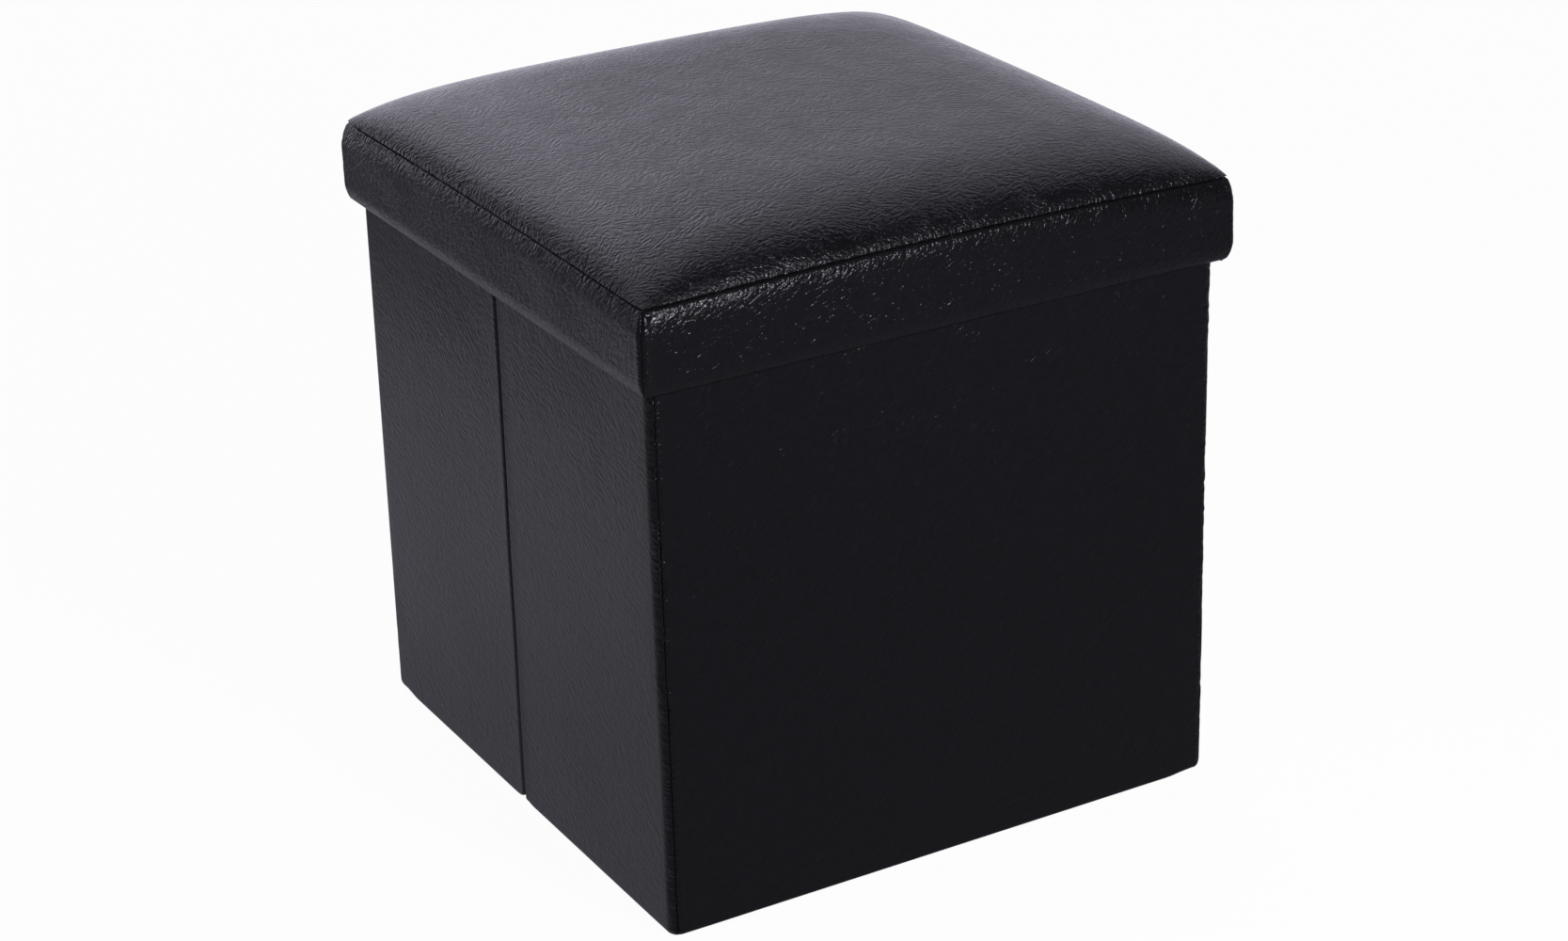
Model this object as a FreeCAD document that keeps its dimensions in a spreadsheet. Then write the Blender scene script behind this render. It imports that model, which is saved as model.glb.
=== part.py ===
"""A folding storage ottoman: a cube of hinged, leather covered walls with a padded lift-off lid.

Millimetres, +Z up, the front faces -Y. The origin is on the floor, under the middle of the lid.
The left and right walls are two half panels each, which fold inwards at a crease, so that the
front wall slides back against the rear one. A base board hinged to the back wall keeps the box
square. Every driving dimension is a cell of the spreadsheet "Sizes".
"""
import FreeCAD, Part  # noqa: E401
import math
import os

import Sketcher
from FreeCAD import Vector

DRIVING_SIZES = {
    # outside of the box and of the lid, over the leather
    "body_side": 368.0,
    "lid_side": 380.0,
    "seam_height": 380.0,
    "skirt_depth": 51.0,
    "crown_rise": 21.0,
    "crown_radius": 1400.0,
    "edge_radius": 80.0,
    "wall_height": 356.0,
    # thicknesses
    "leather": 1.0,
    "lining": 0.5,
    "wall_board": 4.0,
    "skirt_cover": 1.8,
    "skirt_board": 1.7,
    "lid_board": 4.0,
    "base_board": 2.4,
    "base_wrap": 0.35,
    "sheet_cloth": 0.4,
    "tape_cloth": 0.25,
    "ribbon": 0.8,
    # hems, folds and clearances
    "hem_height": 4.0,
    "hem_round": 3.0,
    "skirt_turn": 2.0,
    "corner_wrap": 9.0,
    "crease_round": 2.0,
    "fold_room": 6.0,
    "hinge_slack": 0.3,
    "lid_clearance": 0.1,
    "sheet_clearance": 0.1,
    # the base board and what is sewn to it
    "base_side_clearance": 3.0,
    "base_hinge_setback": 2.5,
    "base_length": 351.0,
    "tape_width": 320.0,
    "tape_leg": 20.0,
    "tab_width": 20.0,
    "tab_length": 24.0,
    "tab_round": 6.0,
}

doc = FreeCAD.newDocument("storage_ottoman")
sheet = doc.addObject("Spreadsheet::Sheet", "Sizes")


class Size:
    """A length: its value, and the expression on the sheet's cells that gives it."""

    def __init__(self, text, value):
        self.text = text
        self.value = value

    def _with(self, other, sign, value):
        return Size(f"({self.text} {sign} {as_size(other).text})", value)

    def __add__(self, other):
        return self._with(other, "+", self.value + as_size(other).value)

    def __sub__(self, other):
        return self._with(other, "-", self.value - as_size(other).value)

    def __mul__(self, other):
        return self._with(other, "*", self.value * as_size(other).value)

    def __truediv__(self, other):
        return self._with(other, "/", self.value / as_size(other).value)

    def __neg__(self):
        return Size(f"(-1 * {self.text})", -self.value)


def as_size(length):
    return length if isinstance(length, Size) else Size(repr(length), length)


def fill_sheet():
    """Writes one row for each driving dimension, its name in A and its value in B."""
    for row, (alias, value) in enumerate(DRIVING_SIZES.items(), start=1):
        sheet.set(f"A{row}", alias)
        sheet.set(f"B{row}", str(value))
        sheet.setAlias(f"B{row}", alias)
    doc.recompute()


def cell(alias):
    return Size(f"Sizes.{alias}", float(DRIVING_SIZES[alias]))


fill_sheet()

# Planes of the walls, as distances from the middle of the box
leather = cell("leather")
lining = cell("lining")
wall_board = cell("wall_board")
wall_outer = cell("body_side") / 2
board_outer = wall_outer - leather
board_inner = board_outer - wall_board
wall_inner = board_inner - lining
fold_line = wall_inner - cell("fold_room")
slack = cell("hinge_slack")
seam_line = wall_outer - cell("corner_wrap")

# Levels of the walls
hem_top = cell("hem_height")
wall_top = cell("wall_height")
board_top = wall_top - leather

# Planes and levels of the lid
lid_outer = cell("lid_side") / 2
skirt_board_outer = lid_outer - cell("skirt_cover")
skirt_board_inner = skirt_board_outer - cell("skirt_board")
skirt_inner = skirt_board_inner - lining
lid_lining_low = wall_top + cell("lid_clearance")
lid_board_low = lid_lining_low + lining
lid_board_top = lid_board_low + cell("lid_board")
seam_height = cell("seam_height")
skirt_low = seam_height - cell("skirt_depth")
skirt_board_low = skirt_low + cell("skirt_turn")
skirt_leather_top = seam_height - leather

# The base board: its cloth wrap lies on the bottom sheet and turns up about its top rear edge
sheet_low = cell("sheet_clearance")
sheet_top = sheet_low + cell("sheet_cloth")
wrap_low = sheet_top + cell("sheet_clearance")
base_low = wrap_low + cell("base_wrap")
base_top = base_low + cell("base_board")
wrap_top = base_top + cell("base_wrap")
base_half_width = wall_inner - cell("base_side_clearance")
base_rear = wall_inner - cell("base_hinge_setback")
base_front = base_rear - cell("base_length")
base_wrap = cell("base_wrap")

# Two places, or two levels, this near each other count as one
SAME_PLACE = 0.1
SAME_LEVEL = 0.01

LEFT, RIGHT = -1, 1
FRONT, REAR = -1, 1
SIDE_NAMES = {LEFT: "left", RIGHT: "right"}
END_NAMES = {FRONT: "front", REAR: "rear"}
WALL_NAMES = {FRONT: "front", REAR: "back"}
SKIRT_NAMES = ("front", "right", "back", "left")


def origin_plane(body, role):
    return next(f for f in body.Origin.OriginFeatures if f.Role == role)


def drive(sketch, kind, geometry, point, size):
    """Holds a point of the sketch at a distance from the sketch's origin that the sheet drives."""
    index = sketch.addConstraint(
        Sketcher.Constraint(kind, -1, 1, geometry, point, size.value)
    )
    sketch.setExpression(f"Constraints[{index}]", size.text)


def outline_sketch(body, name, corners, level):
    """A closed outline of straight lines in plan, at a level, with each corner driven by the sheet."""
    sketch = body.newObject("Sketcher::SketchObject", name)
    sketch.AttachmentSupport = [(origin_plane(body, "XY_Plane"), "")]
    sketch.MapMode = "FlatFace"
    sketch.setExpression("AttachmentOffset.Base.z", level.text)
    corners = [(as_size(x), as_size(y)) for x, y in corners]
    places = [Vector(x.value, y.value, 0) for x, y in corners]
    count = len(corners)
    for n in range(count):
        sketch.addGeometry(Part.LineSegment(places[n], places[(n + 1) % count]))
    for n in range(count):
        sketch.addConstraint(Sketcher.Constraint("Coincident", n, 2, (n + 1) % count, 1))
    for n, (x, y) in enumerate(corners):
        drive(sketch, "DistanceX", n, 1, x)
        drive(sketch, "DistanceY", n, 1, y)
    return sketch


def new_body(label):
    body = doc.addObject("PartDesign::Body", label)
    body.Label = label
    return body


def pad(body, corners, low, high):
    """Raises a plan outline from one level to another."""
    feature = body.newObject("PartDesign::Pad", f"{body.Name}_pad")
    feature.Profile = outline_sketch(body, f"{body.Name}_outline", corners, low)
    feature.setExpression("Length", (high - low).text)
    doc.recompute()
    return feature


def pocket_up(body, corners, low, high):
    """Cuts a plan outline out of the body, from one level up to another."""
    before = body.Shape.Volume
    feature = body.newObject("PartDesign::Pocket", f"{body.Name}_pocket")
    feature.Profile = outline_sketch(body, f"{body.Name}_hollow", corners, low)
    feature.setExpression("Length", (high - low).text)
    feature.Reversed = True
    doc.recompute()
    if body.Shape.Volume >= before:
        raise RuntimeError(f"the pocket in {body.Label} cuts nothing")
    return feature


def fillet(body, base, chosen, radius):
    """Rounds the edges of a feature that chosen(edge) picks."""
    names = [
        f"Edge{n}" for n, edge in enumerate(base.Shape.Edges, start=1) if chosen(edge)
    ]
    if not names:
        raise RuntimeError(f"{body.Label} has no edge to round there")
    feature = body.newObject("PartDesign::Fillet", f"{body.Name}_fillet")
    feature.Base = (base, names)
    feature.setExpression("Radius", radius.text)
    doc.recompute()
    return feature


def is_upright_at(x, y):
    """Picks the upright edges over one point of the plan."""

    def chosen(edge):
        box = edge.BoundBox
        upright = box.ZLength > box.XLength + box.YLength
        apart = math.hypot(box.Center.x - x.value, box.Center.y - y.value)
        return upright and apart < SAME_PLACE

    return chosen


def is_flat_at(level, wanted):
    """Picks the edges that lie at a level and whose middle wanted(x, y) accepts."""

    def chosen(edge):
        box = edge.BoundBox
        return (
            box.ZLength < SAME_LEVEL
            and abs(box.Center.z - level) < SAME_LEVEL
            and wanted(abs(box.Center.x), abs(box.Center.y))
        )

    return chosen


def rectangle(x_low, x_high, y_low, y_high):
    return [(x_low, y_low), (x_high, y_low), (x_high, y_high), (x_low, y_high)]


def box(label, x_range, y_range, z_range):
    """A plain block between two planes each way."""
    block = doc.addObject("Part::Box", label)
    block.Label = label
    for letter, length, (low, high) in zip(
        "xyz", ("Length", "Width", "Height"), (x_range, y_range, z_range)
    ):
        block.setExpression(length, (as_size(high) - low).text)
        block.setExpression(f"Placement.Base.{letter}", as_size(low).text)
    return block


def cut(label, base, tool):
    result = doc.addObject("Part::Cut", label)
    result.Label = label
    result.Base = base
    result.Tool = tool
    return result


def ordered(a, b):
    return (a, b) if as_size(a).value < as_size(b).value else (b, a)


def side_half(side, end):
    """One half panel of a side wall: a board in a leather sleeve, with a lining and a rolled hem."""
    name = f"{SIDE_NAMES[side]}_{END_NAMES[end]}"
    near = slack * end
    far = (fold_line - slack) * end
    y_low, y_high = ordered(near, far)
    board_near, board_far = ordered(near + leather * end, far - leather * end)
    plan = rectangle(*ordered(wall_outer * side, board_inner * side), y_low, y_high)
    board_plan = rectangle(
        *ordered(board_outer * side, board_inner * side), board_near, board_far
    )
    open_plan = rectangle(
        *ordered(board_outer * side, wall_inner * side), board_near, board_far
    )

    board = new_body(f"{name}_board")
    pad(board, board_plan, hem_top, board_top)

    cover = new_body(f"{name}_leather")
    pad(cover, plan, hem_top, wall_top)
    hollow = pocket_up(cover, open_plan, hem_top, board_top)
    fillet(cover, hollow, is_upright_at(wall_outer * side, near), cell("crease_round"))

    box(
        f"{name}_lining",
        ordered(board_inner * side, wall_inner * side),
        (y_low, y_high),
        (hem_top, wall_top),
    )

    hem = new_body(f"{name}_hem")
    hem_plan = rectangle(*ordered(wall_outer * side, wall_inner * side), y_low, y_high)
    block = pad(hem, hem_plan, as_size(0.0), hem_top)
    creased = fillet(
        hem, block, is_upright_at(wall_outer * side, near), cell("crease_round")
    )
    # the long outer edge, the arc at the crease, and the short edge beside it
    arc_start = (wall_outer - cell("crease_round")).value
    crease_end = slack.value + SAME_PLACE
    fillet(
        hem,
        creased,
        is_flat_at(0.0, lambda x, y: x > arc_start or y < crease_end),
        cell("hem_round"),
    )


def end_wall(end):
    """The front or back wall: one board, its leather and lining, and the hem that it stands on."""
    name = WALL_NAMES[end]
    board = new_body(f"{name}_board")
    pad(
        board,
        rectangle(-wall_inner, wall_inner, *ordered(board_outer * end, board_inner * end)),
        hem_top,
        board_top,
    )

    cover = new_body(f"{name}_leather")
    pad(
        cover,
        rectangle(-seam_line, seam_line, *ordered(wall_outer * end, board_inner * end)),
        hem_top,
        wall_top,
    )
    pocket_up(
        cover,
        rectangle(-wall_outer, wall_outer, *ordered(board_outer * end, fold_line * end)),
        hem_top,
        board_top,
    )

    returned = (fold_line + slack) * end
    lining_plan = [
        (-board_inner, board_inner * end),
        (board_inner, board_inner * end),
        (board_inner, returned),
        (wall_inner, returned),
        (wall_inner, wall_inner * end),
        (-wall_inner, wall_inner * end),
        (-wall_inner, returned),
        (-board_inner, returned),
    ]
    cloth = new_body(f"{name}_lining")
    pad(cloth, lining_plan, hem_top, wall_top)

    hem_plan = [
        (-wall_outer, wall_outer * end),
        (wall_outer, wall_outer * end),
        (wall_outer, returned),
        (wall_inner, returned),
        (wall_inner, wall_inner * end),
        (-wall_inner, wall_inner * end),
        (-wall_inner, returned),
        (-wall_outer, returned),
    ]
    hem = new_body(f"{name}_hem")
    block = pad(hem, hem_plan, as_size(0.0), hem_top)
    corners = [is_upright_at(wall_outer * side, wall_outer * end) for side in (LEFT, RIGHT)]
    rounded = fillet(
        hem, block, lambda edge: any(c(edge) for c in corners), wall_outer - wall_inner
    )
    # the outer edges, and the arcs between them
    outer_edge = wall_outer.value - SAME_PLACE
    inner = wall_inner.value
    fillet(
        hem,
        rounded,
        is_flat_at(0.0, lambda x, y: max(x, y) > outer_edge or min(x, y) > inner),
        cell("hem_round"),
    )


def corner_leather(side, end):
    """The strip of leather that rounds a corner of the box, from the seam on the end wall."""
    body = new_body(f"{WALL_NAMES[end]}_{SIDE_NAMES[side]}_corner_leather")
    returned = (fold_line + slack) * end
    plan = [
        (seam_line * side, wall_outer * end),
        (wall_outer * side, wall_outer * end),
        (wall_outer * side, returned),
        (board_outer * side, returned),
        (board_outer * side, board_outer * end),
        (seam_line * side, board_outer * end),
    ]
    strip = pad(body, plan, hem_top, wall_top)
    outside = fillet(
        body,
        strip,
        is_upright_at(wall_outer * side, wall_outer * end),
        wall_outer - wall_inner,
    )
    fillet(
        body,
        outside,
        is_upright_at(board_outer * side, board_outer * end),
        board_outer - wall_inner,
    )


def turned(corners, quarters):
    """The plan outline turned about the middle of the box by quarter turns."""
    for _ in range(quarters):
        corners = [(-as_size(y), as_size(x)) for x, y in corners]
    return corners


def mitred(outer, inner):
    """The front strip of a square frame, with its ends cut at 45 degrees."""
    return [(-outer, -outer), (outer, -outer), (inner, -inner), (-inner, -inner)]


def lid_skirt(quarters):
    """One side of the lid's skirt: a stiff strip that stops short of the corners, and its leather."""
    name = SKIRT_NAMES[quarters]
    stiffener = new_body(f"{name}_skirt_board")
    half = skirt_board_inner
    strip = turned(rectangle(-half, half, -skirt_board_outer, -half), quarters)
    pad(stiffener, strip, skirt_board_low, lid_board_top)

    cover = new_body(f"{name}_skirt_leather")
    pad(cover, turned(mitred(lid_outer, skirt_inner), quarters), skirt_low, skirt_leather_top)
    strip_room = rectangle(-half, half, -skirt_board_outer, leather - skirt_inner)
    pocket_up(cover, turned(strip_room, quarters), skirt_board_low, lid_board_top)
    foam_room = mitred(skirt_board_outer, skirt_inner - leather)
    pocket_up(cover, turned(foam_room, quarters), lid_board_top, skirt_leather_top + leather)


def crown_sketch(name, half_width, low, shoulder, offset, quarters):
    """The cushion's outline seen from the side: a crown arc between two tighter edge arcs."""
    sketch = doc.addObject("Sketcher::SketchObject", name)
    upright = FreeCAD.Rotation(Vector(0, 0, 1), 90 * quarters)
    sketch.Placement = FreeCAD.Placement(
        Vector(0, 0, 0), upright * FreeCAD.Rotation(Vector(1, 0, 0), 90)
    )
    crown = cell("crown_radius") - offset
    edge = cell("edge_radius") - offset
    centre_height = seam_height + cell("crown_rise") - cell("crown_radius")
    # The edge arc's centre is crown - edge from the crown's centre, and edge from the shoulder
    reach = math.hypot(half_width.value, shoulder.value - centre_height.value)
    between = crown.value - edge.value
    lean = math.atan2(half_width.value, shoulder.value - centre_height.value)
    open_angle = math.acos((reach**2 + between**2 - edge.value**2) / (2 * reach * between))
    tilt = lean - open_angle
    edge_x = between * math.sin(tilt)
    edge_z = centre_height.value + between * math.cos(tilt)
    shoulder_angle = math.atan2(shoulder.value - edge_z, half_width.value - edge_x)
    top = math.pi / 2
    normal = Vector(0, 0, 1)
    corners = [
        (-half_width, low),
        (half_width, low),
        (half_width, shoulder),
        (-half_width, shoulder),
    ]
    places = [Vector(x.value, z.value, 0) for x, z in corners]

    def arc(x, z, radius, start, finish):
        circle = Part.Circle(Vector(x, z, 0), normal, radius)
        sketch.addGeometry(Part.ArcOfCircle(circle, start, finish))

    sketch.addGeometry(Part.LineSegment(places[0], places[1]))
    sketch.addGeometry(Part.LineSegment(places[1], places[2]))
    arc(edge_x, edge_z, edge.value, shoulder_angle, top - tilt)
    arc(0, centre_height.value, crown.value, top - tilt, top + tilt)
    arc(-edge_x, edge_z, edge.value, top + tilt, math.pi - shoulder_angle)
    sketch.addGeometry(Part.LineSegment(places[3], places[0]))
    for first, second in ((0, 1), (1, 2), (4, 5), (5, 0)):
        sketch.addConstraint(Sketcher.Constraint("Coincident", first, 2, second, 1))
    for first, second in ((2, 3), (3, 4)):
        sketch.addConstraint(Sketcher.Constraint("Tangent", first, 2, second, 1))
    for geometry, (x, z) in zip((0, 1, 2, 5), corners):
        drive(sketch, "DistanceX", geometry, 1, x)
        drive(sketch, "DistanceY", geometry, 1, z)
    for geometry, radius in ((2, edge), (3, crown), (4, edge)):
        index = sketch.addConstraint(Sketcher.Constraint("Radius", geometry, radius.value))
        sketch.setExpression(f"Constraints[{index}]", radius.text)
    return sketch


def cushion(name, half_width, low, shoulder, offset):
    """A padded square: the space under the crown outline both ways."""
    walls = []
    for quarters in (0, 1):
        sketch = crown_sketch(
            f"{name}_outline_{quarters}", half_width, low, shoulder, offset, quarters
        )
        raised = doc.addObject("Part::Extrusion", f"{name}_run_{quarters}")
        raised.Base = sketch
        raised.DirMode = "Normal"
        raised.Solid = True
        raised.Symmetric = True
        raised.setExpression("LengthFwd", (half_width * 2).text)
        walls.append(raised)
    both = doc.addObject("Part::MultiCommon", name)
    both.Label = name
    both.Shapes = walls
    doc.recompute()
    return both


def lid():
    box("lid_lining", (-skirt_inner, skirt_inner), (-skirt_inner, skirt_inner),
        (lid_lining_low, lid_board_low))
    board = new_body("lid_board")
    half = skirt_board_inner
    pad(board, rectangle(-half, half, -half, half), lid_board_low, lid_board_top)
    ring = box("skirt_lining_outside", (-half, half), (-half, half),
               (skirt_board_low, lid_board_low))
    room = box("skirt_lining_inside", (-skirt_inner, skirt_inner), (-skirt_inner, skirt_inner),
               (skirt_board_low - leather, lid_board_low + leather))
    cut("skirt_lining", ring, room)
    for quarters in range(4):
        lid_skirt(quarters)
    foam = cushion("lid_foam", skirt_board_outer, lid_board_top, seam_height, leather)
    outside = cushion("lid_cushion_outside", lid_outer, skirt_leather_top, seam_height, as_size(0.0))
    cut("lid_top_leather", outside, foam)


def base():
    """The base board in its cloth envelope, the cloth hinge at its rear and its pull tab."""
    board = new_body("base_board")
    half = base_half_width - base_wrap
    pad(board, rectangle(-half, half, base_front + base_wrap, base_rear), base_low, base_top)
    wrap = box("base_wrap_outside", (-base_half_width, base_half_width),
               (base_front, base_rear), (wrap_low, wrap_top))
    inside = box("base_wrap_inside", (-half, half),
                 (base_front + base_wrap, base_rear + leather), (base_low, base_top))
    cut("base_wrap", wrap, inside)

    half_tape = cell("tape_width") / 2
    tape_top = wrap_top + cell("tape_cloth")
    tape = box("base_tape_block", (-half_tape, half_tape),
               (base_rear - cell("tape_leg"), wall_inner), (wrap_top, wrap_top + cell("tape_leg")))
    clear = box("base_tape_room", (-wall_outer, wall_outer),
                (-wall_outer, wall_inner - cell("tape_cloth")), (tape_top, wall_top))
    cut("base_hinge_tape", tape, clear)

    tab = new_body("base_pull_tab")
    half_tab = cell("tab_width") / 2
    tab_end = base_front + cell("tab_length")
    ribbon = pad(tab, rectangle(-half_tab, half_tab, base_front, tab_end),
                 wrap_top, wrap_top + cell("ribbon"))
    ends = [is_upright_at(half_tab * side, tab_end) for side in (LEFT, RIGHT)]
    fillet(tab, ribbon, lambda edge: any(e(edge) for e in ends), cell("tab_round"))


def bottom_sheet():
    half = wall_inner - cell("sheet_clearance")
    box("bottom_sheet", (-half, half), (-half, half), (sheet_low, sheet_top))


def build():
    for side in (LEFT, RIGHT):
        for end in (FRONT, REAR):
            side_half(side, end)
            corner_leather(side, end)
    for end in (FRONT, REAR):
        end_wall(end)
    lid()
    base()
    bottom_sheet()
    doc.recompute()


HELPERS = {
    "skirt_lining_outside", "skirt_lining_inside", "lid_cushion_outside",
    "base_wrap_outside", "base_wrap_inside", "base_tape_block", "base_tape_room",
}
PIECE_TYPES = ("PartDesign::Body", "Part::Box", "Part::Cut", "Part::MultiCommon")


def pieces():
    return [o for o in doc.Objects if o.TypeId in PIECE_TYPES and o.Name not in HELPERS]


def check():
    for item in doc.Objects:
        if any(state in ("Invalid", "Error") for state in item.State):
            raise RuntimeError(f"{item.Label} is {item.State}")
    for piece in pieces():
        if piece.Shape.isNull() or not piece.Shape.isValid() or not piece.Shape.Solids:
            raise RuntimeError(f"{piece.Label} has no valid solid")


def write():
    os.makedirs("parts", exist_ok=True)
    for piece in pieces():
        piece.Shape.exportStep(os.path.join("parts", f"{piece.Label}.step"))
    print(f"{len(pieces())} pieces written")


build()
check()
write()
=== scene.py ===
import math

import bmesh
import bpy
import numpy as np
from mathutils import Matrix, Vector


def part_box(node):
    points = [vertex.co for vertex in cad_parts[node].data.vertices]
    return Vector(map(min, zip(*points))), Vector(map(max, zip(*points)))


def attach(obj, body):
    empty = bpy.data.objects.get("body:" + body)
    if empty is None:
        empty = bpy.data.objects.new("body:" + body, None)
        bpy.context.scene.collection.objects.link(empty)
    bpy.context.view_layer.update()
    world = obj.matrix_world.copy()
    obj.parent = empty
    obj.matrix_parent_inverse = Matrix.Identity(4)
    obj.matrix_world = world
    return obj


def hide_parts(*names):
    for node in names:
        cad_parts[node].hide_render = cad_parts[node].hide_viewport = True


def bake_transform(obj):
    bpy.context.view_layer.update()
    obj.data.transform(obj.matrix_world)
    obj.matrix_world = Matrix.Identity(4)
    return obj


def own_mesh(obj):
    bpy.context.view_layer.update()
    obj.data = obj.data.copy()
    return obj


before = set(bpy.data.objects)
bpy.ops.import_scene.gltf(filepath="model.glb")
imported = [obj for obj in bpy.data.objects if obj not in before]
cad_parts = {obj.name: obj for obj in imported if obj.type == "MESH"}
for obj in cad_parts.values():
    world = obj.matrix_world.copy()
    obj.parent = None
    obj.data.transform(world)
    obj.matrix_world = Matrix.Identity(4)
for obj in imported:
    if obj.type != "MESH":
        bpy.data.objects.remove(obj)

scene = bpy.context.scene
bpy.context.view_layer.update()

left, right = -1, 1
front, back = -1, 1
sideNames = {left: "left", right: "right"}
halfNames = {front: "front", back: "rear"}
wallNames = {front: "front", back: "back"}
mm = 0.001
quarterTurn = math.pi / 2

# camera, first, so that a broken piece further down still leaves a view
cameraSet = {
    "place": (-0.9551, -1.6711, 1.0281),
    "turn": (66.056, 1.279, -30.364),  # degrees about X, Y and Z
    "lens": 79.61,
    "sensor": 36.0,
}


def addCamera():
    lens = bpy.data.cameras.new("studioCamera")
    lens.lens = cameraSet["lens"]
    lens.sensor_width = cameraSet["sensor"]
    camera = bpy.data.objects.new("studioCamera", lens)
    camera.location = cameraSet["place"]
    camera.rotation_euler = [math.radians(angle) for angle in cameraSet["turn"]]
    scene.collection.objects.link(camera)
    scene.camera = camera


addCamera()
scene.view_settings.view_transform = "Standard"
print("camera is up")

# sizes read off the frame
sideLow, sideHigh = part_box("right_front_leather")
skirtLow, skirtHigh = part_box("front_skirt_leather")

boxSize = {
    "outer": sideHigh.x,
    "thick": sideHigh.x - sideLow.x,
    "wall": sideHigh.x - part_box("right_front_lining")[0].x,  # leather, board and lining
    "top": sideHigh.z,
    "hemTop": sideLow.z,
    "sideEnd": 168 * mm,  # where the corner leather meets the side leather
    "creaseHalf": 4 * mm,  # half the width of the strip in the crease
    "cornerRadius": 7.5 * mm,
    "seamTurn": math.radians(58),  # how far round the corner its seam stands
}
lidSize = {
    "outer": skirtHigh.x,
    "low": skirtLow.z,
    "seam": skirtHigh.z + 1 * mm,
    "boardTop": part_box("lid_board")[1].z,
}


# whole-array helpers
# 0 below low, 1 above high, and 3t^2 - 2t^3 between
def ease(value, low, high):
    share = np.clip((value - low) / (high - low), 0, 1)
    return share * share * (3 - 2 * share)


# A hump of height 1 at the middle, e to the minus (distance / reach) squared
def hump(value, middle, reach):
    return np.exp(-(((value - middle) / reach) ** 2))


# Random heights from -1 to 1 on a square lattice, eased both ways, so it is smooth and the same each run
def softNoise(u, v, size, seed):
    count = 128
    lattice = np.random.default_rng(seed).uniform(-1, 1, (count, count))
    i, j = np.floor(u / size), np.floor(v / size)
    a, b = ease(u / size - i, 0, 1), ease(v / size - j, 0, 1)
    i, j = i.astype(int) % count, j.astype(int) % count
    iNext, jNext = (i + 1) % count, (j + 1) % count
    low = lattice[i, j] * (1 - a) + lattice[iNext, j] * a
    high = lattice[i, jNext] * (1 - a) + lattice[iNext, jNext] * a
    return low * (1 - b) + high * b


# How deep a rolled edge dips at a distance from its seam: a quarter circle of the given radius
def rolledEdge(distance, radius):
    short = radius - np.clip(distance, 0, radius)
    return radius - np.sqrt(radius**2 - short**2 * 0.999)


# meshes
sharpAngle = math.radians(42)


# rub is how worn a point is, and beside the skirt's top seam also a painted highlight; seam is how far along
# the nearest seam it is and how far away from it
def makePiece(name, points, cloth, finish, rubAndHighlight=None, seam=None, faces=None):
    mesh = bpy.data.meshes.new(name)
    mesh.from_pydata(points.reshape(-1, 3).tolist(), [], faces or skinLoops(points))
    corner = np.empty(len(mesh.loops), int)
    mesh.loops.foreach_get("vertex_index", corner)
    if seam is None:
        seam = np.ones((len(points.reshape(-1, 3)), 2))
    for label, values in (("cloth", cloth), ("seam", seam)):
        layer = mesh.uv_layers.new(name=label)
        layer.data.foreach_set("uv", values.reshape(-1, 2)[corner].astype(np.float32).ravel())
    wornAndHighlight = mesh.attributes.new("rubAndHighlight", "FLOAT", "POINT")
    if rubAndHighlight is not None:
        wornAndHighlight.data.foreach_set("value", rubAndHighlight.astype(np.float32).ravel())
    shell = bmesh.new()
    shell.from_mesh(mesh)
    bmesh.ops.recalc_face_normals(shell, faces=shell.faces)
    shell.to_mesh(mesh)
    shell.free()
    mesh.shade_smooth()
    mesh.set_sharp_from_angle(angle=sharpAngle)
    piece = bpy.data.objects.new(name, mesh)
    scene.collection.objects.link(piece)
    mesh.materials.append(materials[finish])
    return piece


# A skin through closed loops: points[station, around, xyz]. A loop's second half is its inner run backwards,
# so quads between the matching points of the two runs close both ends.
def skinLoops(points):
    stations, around = points.shape[:2]
    index = np.arange(stations * around).reshape(stations, around)
    ahead = np.roll(index, -1, axis=1)
    sides = np.stack([index[:-1], index[1:], ahead[1:], ahead[:-1]], axis=-1).reshape(-1, 4)
    k = np.arange(around // 2 - 1)
    cap = np.stack([k, k + 1, around - 2 - k, around - 1 - k], axis=-1)
    return np.concatenate([sides, cap[:, ::-1], cap + index[-1, 0]]).tolist()


# Quads of a square lattice of points
def latticeQuads(index):
    quads = np.stack([index[:-1, :-1], index[1:, :-1], index[1:, 1:], index[:-1, 1:]], axis=-1)
    return quads.reshape(-1, 4)


# Sets each loop upright on a plan path: inset is measured inwards from the path, along its outward normal
def standOn(path, inset, height):
    x, y, outX, outY = (part[:, None] for part in path)
    return np.stack([x - outX * inset, y - outY * inset, height + 0 * x], axis=-1)


# node tools
def addNode(tree, kind, inputs=None, **settings):
    made = tree.nodes.new(kind)
    for key, value in settings.items():
        setattr(made, key, value)
    for key, value in (inputs or {}).items():
        if isinstance(value, bpy.types.NodeSocket):
            tree.links.new(value, made.inputs[key])
        else:
            made.inputs[key].default_value = value
    return made


def addMath(tree, operation, first, second=0.0, third=0.0):
    return addNode(tree, "ShaderNodeMath", {0: first, 1: second, 2: third}, operation=operation).outputs[0]


def addVector(tree, operation, first, second=(0, 0, 0)):
    return addNode(tree, "ShaderNodeVectorMath", {0: first, 1: second}, operation=operation).outputs[0]


def addScaled(tree, vector, factor):
    made = addNode(tree, "ShaderNodeVectorMath", {"Vector": vector, "Scale": factor}, operation="SCALE")
    return made.outputs[0]


def addNoise(tree, place, scale, detail):
    return addNode(tree, "ShaderNodeTexNoise", {"Vector": place, "Scale": scale, "Detail": detail})


def addTurned(tree, place, angle):
    levels = {"Vector": place, "Angle": angle}
    return addNode(tree, "ShaderNodeVectorRotate", levels, rotation_type="Z_AXIS").outputs[0]


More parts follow.
